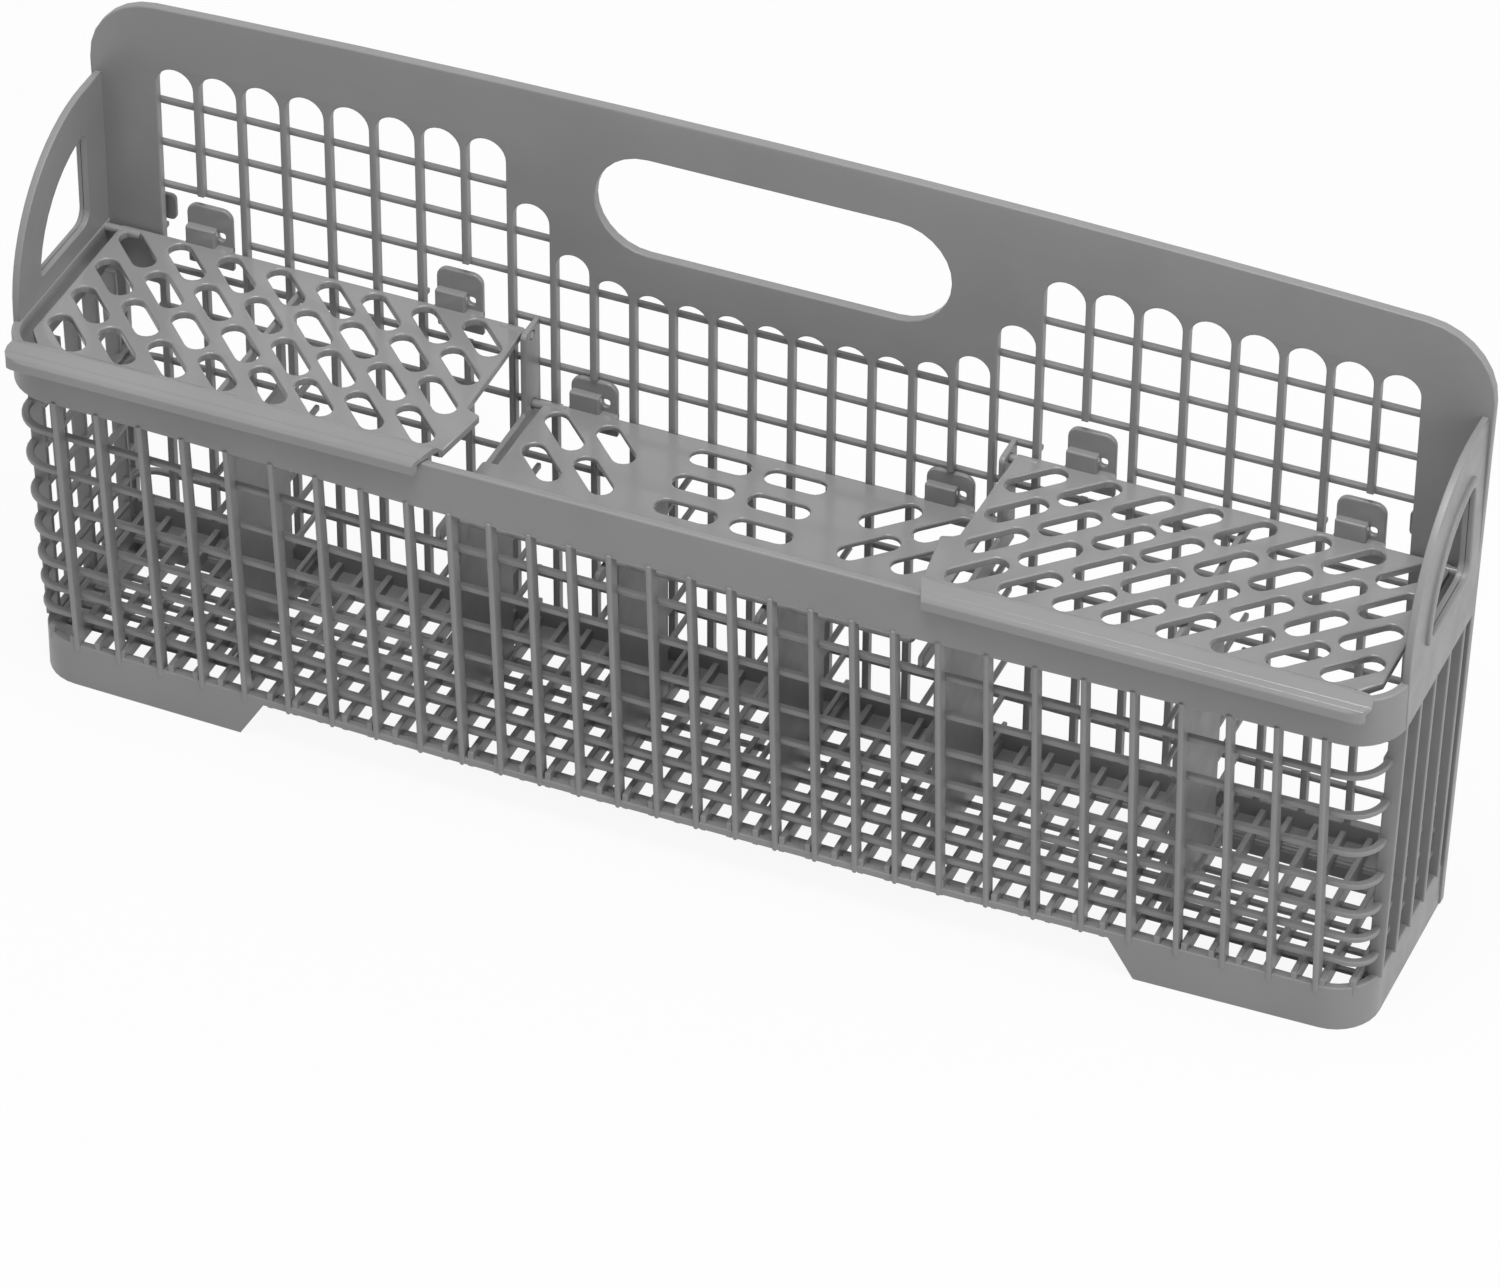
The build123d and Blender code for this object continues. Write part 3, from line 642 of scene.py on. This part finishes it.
# %% Floor grid
CROSS_W, CROSS_PITCH, CROSS_COUNT, CROSS_INSET = 2.2, 9.42, 25, 0.3
CROSS_BOTTOM, CROSS_TOP = 14.4, 20.6
RUNNER_PITCH, RUNNER_FIRST_Y, RUNNER_COUNT = 10.17, -30.5, 7
RUNNER_W, RUNNER_BOTTOM, RUNNER_TOP, FIRST_RUNNER_CUT = 2.2, 14.5, 16.3, 0.7
STRIP_BOTTOM, STRIP_TOP = 14.8, 16.8


def skirt_front(x):
    """Outer face of the skirt's front at x, with its round corners."""
    corner_x = SKIRT_HALF - SKIRT_CORNER_R
    y = front_y(min(abs(x), corner_x), SKIRT_TOP)
    past = max(0.0, abs(x) - corner_x)
    return y + SKIRT_CORNER_R - (SKIRT_CORNER_R**2 - past**2) ** 0.5


bm = bmesh.new()
for k in range(-CROSS_COUNT, CROSS_COUNT + 1):
    x = CROSS_PITCH * k
    low = (x - CROSS_W / 2, skirt_front(x) + CROSS_INSET, CROSS_BOTTOM)
    add_bar(bm, low, (x + CROSS_W / 2, PANEL_Y + EDGE, CROSS_TOP))
for k in range(RUNNER_COUNT):
    y = RUNNER_FIRST_Y + RUNNER_PITCH * k
    reach = SKIRT_HALF - (SKIRT_WALL / 2 if k else SKIRT_CORNER_R * FIRST_RUNNER_CUT)
    low = (-reach, y - RUNNER_W / 2, RUNNER_BOTTOM)
    add_bar(bm, low, (reach, y + RUNNER_W / 2, RUNNER_TOP))
strip_reach = SKIRT_HALF - SKIRT_WALL / 2
strip_low = (-strip_reach, RUNNER_FIRST_Y + RUNNER_PITCH * (RUNNER_COUNT - 1), STRIP_BOTTOM)
add_bar(bm, strip_low, (strip_reach, PANEL_Y + EDGE, STRIP_TOP))
show(bm, "floor_grid", "basket", basket_plastic)

# %% [markdown]
# ## Dividers
# Six dividers make the compartments. Each is a plate whose middle is closed. Beside the front and the back
# wall it opens into ladders under one long top edge. The front rungs meet the front bars, and the rear rungs
# end in the panel's windows. The middle pair also carries the posts that the lids' pins turn in, and the
# tall outer pair is an open frame above the height of the others. The rungs are bars that are a little
# thinner than the plate.

# %% Sizes of the dividers and hinges
DIVIDER_T, FLOOR_TOP, FRONT_LAP = 2.0, 17.2, 0.75
POST_PAIR, OPEN_PAIR, OPEN_R = 1, 2, 3.0
RUNG, RUNG_T, RUNG_ROOT, RUNG_DROP = 2.2, 1.7, 1.0, 0.1
LADDER_D, BACK_LADDER_D, TOP_EDGE_H, UPRIGHT = 15.0, 21.0, 4.0, 4.0
BACK_RUNG_PITCH, BACK_RUNG_COUNT = 14.4, 6
TALL_DIVIDER_TOP = 138.0
LID_T, PLATE_T, LID_TOP, MID_LID_TOP = 2.1, 3.1, 142.0, 114.0
PIN_R, PIN_CLEAR, HINGE_DY, LID_REAR_GAP, POST_D, POST_WALL = 1.5, 0.3, 3.0, 1.0, 9.0, 1.5
HINGE_Y = PANEL_Y - HINGE_DY
LID_REAR = PANEL_Y - LID_REAR_GAP
LID_HINGE_Z, MID_HINGE_Z = LID_TOP - LID_T / 2, MID_LID_TOP - LID_T / 2
POST_TOP = LID_HINGE_Z + PIN_R + PIN_CLEAR + POST_WALL
INNER_DIVIDER_TOP = MID_HINGE_Z - hypot(LID_REAR - HINGE_Y, LID_T / 2) - PIN_CLEAR
DIVIDER_TOPS = (INNER_DIVIDER_TOP, MID_LID_TOP - LID_T - PIN_CLEAR, TALL_DIVIDER_TOP)
lap = RIB_D + BAR * FRONT_LAP
print("divider tops:", [round(top, 1) for top in DIVIDER_TOPS])


def pin_hole(z):
    """Corners of a round bearing hole for a lid's pin."""
    size = 2 * (PIN_R + PIN_CLEAR)
    return box_hole(HINGE_Y, z, size, size, size / 2 - ROUND_TRIM)


# %% Dividers with ladders and hinge posts
bm = bmesh.new()
back_edge = PANEL_REAR - EDGE
body_rear = PANEL_Y - BACK_LADDER_D
for place, (x, top) in enumerate(zip(DIVIDER_X, DIVIDER_TOPS)):
    body_front = front_y(x, top) + lap + LADDER_D
    outline = [(body_front, FLOOR_TOP - EDGE, 1), (body_rear, FLOOR_TOP - EDGE, 1)]
    holes = []
    if place == POST_PAIR:
        foot_z = MID_HINGE_Z - POST_D
        outline += [
            (body_rear, foot_z, 2),
            (back_edge, foot_z, 0),
            (back_edge, POST_TOP, 0),
            (PANEL_Y - POST_D, POST_TOP, 2),
            (PANEL_Y - POST_D, top, 1.5),
        ]
        holes = [pin_hole(LID_HINGE_Z), pin_hole(MID_HINGE_Z)]
    else:
        outline += [(body_rear, top - TOP_EDGE_H, 2), (back_edge, top - TOP_EDGE_H, 0), (back_edge, top, 0)]
    head_y = front_y(x, top) + lap
    outline += [(head_y, top, 1.5), (head_y, top - TOP_EDGE_H, 0), (body_front, top - TOP_EDGE_H, 2)]
    if place == OPEN_PAIR:
        gap_low, gap_high = INNER_DIVIDER_TOP, top - TOP_EDGE_H
        gap = box_hole(
            (body_front + body_rear) / 2,
            (gap_low + gap_high) / 2,
            body_rear - body_front - 2 * UPRIGHT,
            gap_high - gap_low,
            OPEN_R,
        )
        holes = [gap]
    for side in (-1, 1):
        add_plate(bm, ON_YZ, side * x, DIVIDER_T, outline, holes)
        x0, x1 = side * x - RUNG_T / 2, side * x + RUNG_T / 2
        for z in FRONT_BAR_Z:
            low = (x0, front_y(x, z) + lap - RUNG_ROOT, z - RUNG_DROP)
            add_bar(bm, low, (x1, body_front + RUNG_ROOT, z + RUNG - RUNG_DROP))
        for k in range(BACK_RUNG_COUNT):
            z = WINDOW_BOTTOM + BACK_RUNG_PITCH * k
            add_bar(bm, (x0, body_rear - RUNG_ROOT, z), (x1, back_edge, z + RUNG))
show(bm, "dividers", "basket", basket_plastic)

# %% [markdown]
# ## Wings and clips
# A quarter-round wing stands on each end wall and braces the panel. Its cut-out has a raised frame on the
# outside. Behind the panel, a clip at each end holds the basket on its rail.

# %% End wings
WING_X, WING_T, WING_R, WING_CENTRE_DY, WING_CENTRE_Z = 243.4, 2.64, 55.3, 10.7, 146.7
WING_BORDER, WING_HOLE_BOTTOM, WING_HOLE_DY = 16.3, 149.6, 13.5
WING_FLANGE_W, WING_FLANGE_T, WING_LAP = 2.6, 1.4, 17.6
wing_y = PANEL_Y - WING_CENTRE_DY


def arc_corners(radius, low_z, rear_y, count):
    """Corners on a circle about the wing's centre, from its front at low_z up to rear_y."""
    first = asin((low_z - WING_CENTRE_Z) / radius)
    last = acos((wing_y - rear_y) / radius)
    angles = [last + (first - last) * k / count for k in range(count + 1)]
    return [(wing_y - radius * cos(a), WING_CENTRE_Z + radius * sin(a), 0) for a in angles]


def rounded_ends(corners, first_radius, last_radius):
    """The same corners, with a radius on the first and the last."""
    (x0, y0, _), *between, (x1, y1, _) = corners
    return [(x0, y0, first_radius), *between, (x1, y1, last_radius)]


wing_bottom = RIM_TOP - WING_LAP
hole_rear = PANEL_Y - WING_HOLE_DY
wing = [
    (wing_y - WING_R, wing_bottom, 0),
    (PANEL_Y + EDGE, wing_bottom, 0),
    (PANEL_Y + EDGE, WING_CENTRE_Z + WING_R, 0),
    *arc_corners(WING_R, WING_CENTRE_Z, wing_y, count=16),
]
hole_arc = arc_corners(WING_R - WING_BORDER, WING_HOLE_BOTTOM, hole_rear, count=10)
hole = [(hole_rear, WING_HOLE_BOTTOM, 5), *rounded_ends(hole_arc, 2.5, 2)]
grown, frame_t = WING_FLANGE_W, WING_T / 2 + WING_FLANGE_T
frame_x = WING_X + WING_T / 2 + frame_t / 2
frame_r, frame_bottom, frame_rear = WING_R - WING_BORDER + grown, WING_HOLE_BOTTOM - grown, hole_rear + grown
frame_arc = arc_corners(frame_r, frame_bottom, frame_rear, count=10)
frame_line = [(frame_rear, frame_bottom, 7), *rounded_ends(frame_arc, 3, 2.5)]
bm = bmesh.new()
for side in (-1, 1):
    add_plate(bm, ON_YZ, side * (WING_X + WING_T / 2), WING_T, wing, [hole], edge=0.4)
    add_plate(bm, ON_YZ, side * frame_x, frame_t, frame_line, [hole], edge=0.7)
show(bm, "wings", "basket", basket_plastic)

# %% Rear clips
CLIP_IN_X, CLIP_OUT_X, CLIP_Z, CLIP_H = 220.6, 245.0, 144.0, 10.0
CLIP_T, CLIP_STANDOFF, CLIP_WEB_W = 1.8, 2.0, 12.0

bm = bmesh.new()
clip_x = (CLIP_IN_X + CLIP_OUT_X) / 2
clip_y = PANEL_REAR + CLIP_STANDOFF
for side in (-1, 1):
    face = box_hole(side * clip_x, CLIP_Z + CLIP_H / 2, CLIP_OUT_X - CLIP_IN_X, CLIP_H, 2)
    web = box_hole(side * clip_x, CLIP_Z + CLIP_H / 2, CLIP_WEB_W, CLIP_H - EDGE, 1)
    add_plate(bm, ON_XZ, clip_y + CLIP_T / 2, CLIP_T, face)
    add_plate(bm, ON_XZ, clip_y - CLIP_STANDOFF / 2, CLIP_STANDOFF + 2 * EDGE, web, edge=0.2)
show(bm, "rear_clips", "basket", basket_plastic)

# %% [markdown]
# ## Lids
# A side lid is a slotted plate with a raised lip that hooks over the rim, and the middle lid is a flat plate
# lower down. All hang on short pins, and their tabs stand in the double windows. The plate is a flat curve
# with slots as holes. The lip has one section all along, so it is that section drawn as a flat curve, made as
# thick as the lid is long and cut to the lid's plan at both ends.

# %% Slots, pins and tabs that all lids share
SLOT_L, SLOT_W, SLOT_ANGLE, SLOT_RIM = 22.0, 8.2, 45.0, 0.65
PIN_SHORT, PIN_ROOT, PIN_EDGE, PIN_SIDES = 0.2, 8.0, 0.3, 24
TAB_W, TAB_T, TAB_SET, TAB_R, TAB_FOOT_R, TAB_SHIFT = 17.0, 2.0, 1.0, 4.0, 0.8, 2.6
TAB_UP, MID_TAB_UP, TAB_DOWN = 14.4, 11.5, 9.8
TAB_BLOCK_W, TAB_BLOCK_H, TAB_BLOCK_T, TAB_BLOCK_SHIFT, TAB_BLOCK_ROOT = 11.0, 6.75, 2.0, 1.0, 1.0
SINK_DX, SINK_DZ, SINK_W, SINK_H, SINK_R = 4.4, 3.4, 2.6, 3.0, 1.0


def slot(x, y, angle):
    """Corners of a round-ended slot."""
    along, across = SLOT_L / 2, SLOT_W / 2
    c, s = cos(radians(angle)), sin(radians(angle))
    corners = ((-along, -across), (along, -across), (along, across), (-along, across))
    return [(x + c * u - s * v, y + s * u + c * v, across - ROUND_TRIM) for u, v in corners]


def add_pin(bm, x0, x1, z):
    """A round hinge pin along X."""
    place = Matrix.Translation(((x0 + x1) / 2, HINGE_Y, z)) @ Matrix.Rotation(pi / 2, 4, "Y")
    made = bmesh.ops.create_cone(
        bm, cap_ends=True, segments=PIN_SIDES, radius1=PIN_R, radius2=PIN_R, depth=abs(x1 - x0), matrix=place
    )
    lines = edges_of(made["verts"])
    rims = [line for line in lines if max(len(face.verts) for face in line.link_faces) > 4]
    round_edges(bm, rims, PIN_EDGE)


def add_tab(bm, x, top, rise):
    """A tab behind the lid's rear edge on its lug, with a block on its front and a sink hole beside it."""
    lug_y = PANEL_Y + TAB_SET + TAB_T
    x0, x1 = x - TAB_W / 2, x + TAB_W / 2
    add_bar(bm, (x0, LID_REAR - LID_T, top - LID_T), (x1, lug_y - EDGE, top - SEAM))
    low, high = top - TAB_DOWN, top + rise
    tab = [(x0, low, TAB_FOOT_R), (x1, low, TAB_FOOT_R), (x1, high, TAB_R), (x0, high, TAB_R)]
    sink = box_hole(x + SINK_DX, top + SINK_DZ, SINK_W, SINK_H, SINK_R)
    add_plate(bm, ON_XZ, PANEL_Y + TAB_SET + TAB_T / 2, TAB_T, tab, [sink], edge=0.6)
    block_x = x - (TAB_W - TAB_BLOCK_W) / 4 - TAB_BLOCK_SHIFT
    block_y = PANEL_Y + TAB_SET - TAB_BLOCK_T
    block_low = (block_x - TAB_BLOCK_W / 2, block_y - TAB_BLOCK_ROOT, top - EDGE)
    block_high = (block_x + TAB_BLOCK_W / 2, PANEL_Y + TAB_SET + EDGE, top + TAB_BLOCK_H)
    add_bar(bm, block_low, block_high, edge=0.7)


print("slots of", SLOT_L, "by", SLOT_W, "mm and pins of", 2 * PIN_R, "mm")

# %% Plan of a side lid
LID_IN_X, LID_OUT_X, LID_STEP_GAP, LID_TAPER = 88.0, 238.0, 0.8, 1.0
EAR_REACH, EAR_Y, EAR_SLOPE = 6.6, -10.5, 2.0
LIP_IN_X, LIP_OUT_X, CORNER_CUT, CORNER_CUT_L, PLATE_LAP = 85.0, 239.5, 6.0, 7.5, 0.7
step_y = front_y(LID_OUT_X, RIM_BOTTOM) + RIM_WALL + LID_STEP_GAP
slope_y = step_y + LID_T
plate_front = slope_y + PLATE_LAP
ear_x = LID_IN_X - EAR_REACH
corner_x = LID_OUT_X - CORNER_CUT
ear = (ear_x, EAR_Y - EAR_SLOPE / 2)
front_share = (ear[1] - plate_front) / (ear[1] - step_y)
plate_outline = [
    (LID_IN_X, LID_REAR, 1),
    (LID_IN_X - LID_TAPER, EAR_Y + EAR_SLOPE / 2, 1),
    (*ear, 1),
    (ear_x + (LIP_IN_X - ear_x) * front_share, plate_front - SLOT_RIM, 0),
    (corner_x, plate_front - SLOT_RIM, 0),
    (LID_OUT_X, slope_y + CORNER_CUT_L, 1),
    (LID_OUT_X, LID_REAR, 1),
]
print("plate from", round(plate_front, 1), "to", LID_REAR, "mm in depth")

# %% Section and ends of a side lid's lip
LIP_FRONT_Y, LIP_NOSE_Z, LIP_HOOK_Z, LIP_HOOK_T = -47.8, 144.2, 139.5, 2.2
LID_SEAT, LIP_CREST, LIP_CREST_R, SLOPE_R = 0.5, 0.7, 3.2, 1.6
GROOVE, GROOVE_Y = 0.5, LIP_FRONT_Y + 3.6
LIP_SKEW, LIP_SHOULDER = 4.3, (2.4, 0.9)
LIP_ROUND = ((4.6, 0.0), (1.8, 0.9), (0.4, 3.0), (0.0, 5.6), (0.5, 8.3))
ridge_y = step_y - LID_T / 2
lip_under = RIM_TOP + LID_SEAT
lip_top = lip_under + LID_T


def lip_height(y):
    """Top of the lip at y."""
    crest = lip_top + LIP_CREST
    return crest + (LIP_NOSE_Z - crest) * (ridge_y - y) / (ridge_y - LIP_FRONT_Y)


nose = [
    (ridge_y, lip_top + LIP_CREST, LIP_CREST_R),
    (GROOVE_Y + GROOVE, lip_height(GROOVE_Y), 0),
    (GROOVE_Y, lip_height(GROOVE_Y) - GROOVE, 0),
    (GROOVE_Y - GROOVE, lip_height(GROOVE_Y), 0),
    (LIP_FRONT_Y + LIP_HOOK_T / 2, LIP_NOSE_Z, 0.8),
    (LIP_FRONT_Y, LIP_NOSE_Z - LIP_HOOK_T / 2, 0.8),
    (LIP_FRONT_Y, LIP_HOOK_Z, 0.5),
    (LIP_FRONT_Y + LIP_HOOK_T, LIP_HOOK_Z, 0.5),
    (LIP_FRONT_Y + LIP_HOOK_T, lip_under, 0.3),
]
whole_section = [
    (plate_front, LID_TOP, 0),
    (slope_y, LID_TOP, SLOPE_R),
    *nose,
    (step_y, lip_under, 0.3),
    (step_y + LID_T / 2, LID_TOP - LID_T, 0.3),
    (plate_front, LID_TOP - LID_T, 0),
]
nose_section = [(step_y, LID_TOP + LID_T, 0), *nose, (step_y, lip_under, 0)]
inner_end = [ear, (LIP_IN_X, step_y), (LIP_IN_X + LIP_SKEW, LIP_FRONT_Y)]
outer_end = [(LIP_OUT_X - dx, LIP_FRONT_Y + dy) for dx, dy in LIP_ROUND]
outer_end += [(LIP_OUT_X - LIP_SHOULDER[0], ridge_y - LIP_SHOULDER[1]), (corner_x, step_y)]
print("lip from", round(LIP_FRONT_Y, 1), "to", round(slope_y, 1), "mm in depth")

# %% Side lids
SLOT_PITCH, SLOT_ROW_PITCH, SLOT_FIRST_X, SLOT_FIRST_DY, SLOT_ROWS = 18.5, 17.5, 99.0, 12.0, 4
SLOT_GROUPS, SLOT_GROUP_GAP, LIP_SPARE = (3, 5), 16.7, 5.0
slot_columns = [SLOT_FIRST_X + SLOT_PITCH * k for k in range(SLOT_GROUPS[0])]
second_group = slot_columns[-1] + SLOT_GROUP_GAP
slot_columns += [second_group + SLOT_PITCH * k for k in range(SLOT_GROUPS[1])]
slots = [
    slot(x, PANEL_Y - SLOT_FIRST_DY - SLOT_ROW_PITCH * k, SLOT_ANGLE)
    for x in slot_columns
    for k in range(SLOT_ROWS)
]


def lip_run(section, x0, x1, ends):
    """A length of the lip with one section, cut to its plan."""
    bm = bmesh.new()
    add_plate(bm, ON_YZ, (x0 + x1) / 2, x1 - x0, section, edge=0.05, steps=3)
    weld(bm)
    cut_along(bm, ends)
    return bm


bm = lip_run(whole_section, ear_x - LIP_SPARE, corner_x + LIP_SPARE, inner_end)
cut_away(bm, (corner_x, 0, 0), (1, 0, 0))
lip_end = lip_run(nose_section, corner_x - LIP_SPARE, LIP_OUT_X + LIP_SPARE, outer_end)
cut_away(lip_end, (corner_x + SEAM / 10, 0, 0), (-1, 0, 0))
join(bm, lip_end)
add_plate(bm, ON_XY, LID_TOP - PLATE_T / 2, PLATE_T, plate_outline, slots, edge=SLOT_RIM, steps=4)
add_pin(bm, DIVIDER_X[1] - DIVIDER_T / 2 + PIN_SHORT, LID_IN_X + PIN_ROOT, LID_HINGE_Z)
add_pin(bm, LID_OUT_X - PIN_ROOT, RIM_HALF - PIN_SHORT, LID_HINGE_Z)
left = mirror_copy(bm)
tab_places = [columns[SIDE_TAB_COLUMNS[0]] + TAB_SHIFT, columns[SIDE_TAB_COLUMNS[1]] - TAB_SHIFT]
for x in tab_places:
    add_tab(bm, x, LID_TOP, TAB_UP)
    add_tab(left, -x, LID_TOP, TAB_UP)
show(bm, "right_lid_dressed", "right_lid", lid_plastic)
show(left, "left_lid_dressed", "left_lid", lid_plastic)

# %% Middle lid
MID_LID_HALF, MID_LID_FRONT_Y, MID_EAR_X, MID_EAR_Y, MID_EAR_W = 80.9, -32.5, 86.2, -3.5, 8.0
MID_SLOT_X, MID_SLOT_DY = (49.3, 68.2), (14.4, 33.1)
MID_CENTRE_X, MID_CENTRE_DY = 13.5, (9.6, 24.2, 38.9)

half_plate = [
    (MID_LID_HALF, MID_LID_FRONT_Y, 2),
    (MID_LID_HALF, MID_EAR_Y - MID_EAR_W / 2, 0),
    (MID_EAR_X, MID_EAR_Y - MID_EAR_W / 2, 1.5),
    (MID_EAR_X, MID_EAR_Y + MID_EAR_W / 2, 1.5),
    (MID_LID_HALF, MID_EAR_Y + MID_EAR_W / 2, 0),
    (MID_LID_HALF, LID_REAR, 1),
]
mid_slots = [slot(side * MID_CENTRE_X, PANEL_Y - dy, 0) for side in (-1, 1) for dy in MID_CENTRE_DY]
mid_slots += [
    slot(side * x, PANEL_Y - dy, side * SLOT_ANGLE)
    for side in (-1, 1)
    for x in MID_SLOT_X
    for dy in MID_SLOT_DY
]
bm = bmesh.new()
mid_plate = half_plate + mirrored(half_plate)
add_plate(bm, ON_XY, MID_HINGE_Z, LID_T, mid_plate, mid_slots, edge=SLOT_RIM, steps=4)
pin_end = DIVIDER_X[1] + DIVIDER_T / 2 - PIN_SHORT
for side in (-1, 1):
    add_pin(bm, side * (MID_LID_HALF - PIN_ROOT), side * pin_end, MID_HINGE_Z)
    add_tab(bm, side * columns[MID_TAB_COLUMN], MID_LID_TOP, MID_TAB_UP)
show(bm, "middle_lid_dressed", "middle_lid", lid_plastic)

# %% [markdown]
# ## Floor and light
# The photograph shows the basket on plain white under soft light that is strongest from above and a little
# from the right. A wide floor carries the shadow, and the camera sees most of it as white. One large lamp
# above the front gives the lids their light, a weaker one fills from the right, and the world fills the rest.

# %% White floor
FLOOR_HALF, FLOOR_TONE, FLOOR_ROUGHNESS, FLOOR_GLOW = 6.0, 0.7, 0.9, 0.92
floor_bm = bmesh.new()
bmesh.ops.create_grid(floor_bm, x_segments=1, y_segments=1, size=FLOOR_HALF)
floor_mesh = bpy.data.meshes.new("studio_floor")
floor_bm.to_mesh(floor_mesh)
floor_bm.free()
studio_floor = bpy.data.objects.new("studio_floor", floor_mesh)
bpy.context.scene.collection.objects.link(studio_floor)


def seen_directly(nodes, links):
    """1 for rays that come from the camera or a glossy surface, else 0."""
    path = nodes.new("ShaderNodeLightPath")
    either = nodes.new("ShaderNodeMath")
    either.operation = "MAXIMUM"
    links.new(path.outputs["Is Camera Ray"], either.inputs[0])
    links.new(path.outputs["Is Glossy Ray"], either.inputs[1])
    return either.outputs["Value"]


white = bpy.data.materials.new("white_floor")
white.use_nodes = True
nodes, links = white.node_tree.nodes, white.node_tree.links
paint = nodes["Principled BSDF"]
paint.inputs["Base Color"].default_value = (FLOOR_TONE, FLOOR_TONE, FLOOR_TONE, 1)
paint.inputs["Roughness"].default_value = FLOOR_ROUGHNESS
glow = nodes.new("ShaderNodeEmission")
share = nodes.new("ShaderNodeMath")
share.operation = "MULTIPLY"
share.inputs[1].default_value = FLOOR_GLOW
links.new(seen_directly(nodes, links), share.inputs[0])
blend = nodes.new("ShaderNodeMixShader")
links.new(share.outputs["Value"], blend.inputs["Fac"])
links.new(paint.outputs["BSDF"], blend.inputs[1])
links.new(glow.outputs["Emission"], blend.inputs[2])
links.new(blend.outputs["Shader"], nodes["Material Output"].inputs["Surface"])
floor_mesh.materials.append(white)
print("floor ready")

# %% Lamps and world
WORLD_FILL, WORLD_SEEN = 0.42, 1.0
LAMP_AIM = (0, 0, 0.1)


def soft_lamp(name, place, size, power):
    """A square lamp that looks at the middle of the basket. Places and sizes are in metres."""
    light = bpy.data.lights.new(name, "AREA")
    light.shape = "SQUARE"
    light.size = size
    light.energy = power
    lamp = bpy.data.objects.new(name, light)
    bpy.context.scene.collection.objects.link(lamp)
    lamp.location = place
    lamp.rotation_euler = (Vector(LAMP_AIM) - Vector(place)).to_track_quat("-Z", "Y").to_euler()


soft_lamp("key_above", (0.2, -0.45, 2.4), size=1.2, power=46)
soft_lamp("fill_right", (2.0, -0.5, 0.9), size=1.0, power=14)

world = bpy.context.scene.world or bpy.data.worlds.new("studio_world")
bpy.context.scene.world = world
world.use_nodes = True
nodes, links = world.node_tree.nodes, world.node_tree.links
background = nodes["Background"]
background.inputs["Color"].default_value = (1, 1, 1, 1)
strength = nodes.new("ShaderNodeMapRange")
strength.inputs["To Min"].default_value = WORLD_FILL
strength.inputs["To Max"].default_value = WORLD_SEEN
links.new(seen_directly(nodes, links), strength.inputs["Value"])
links.new(strength.outputs["Result"], background.inputs["Strength"])
bpy.context.scene.view_settings.view_transform = "Standard"
print("lamps and world ready")
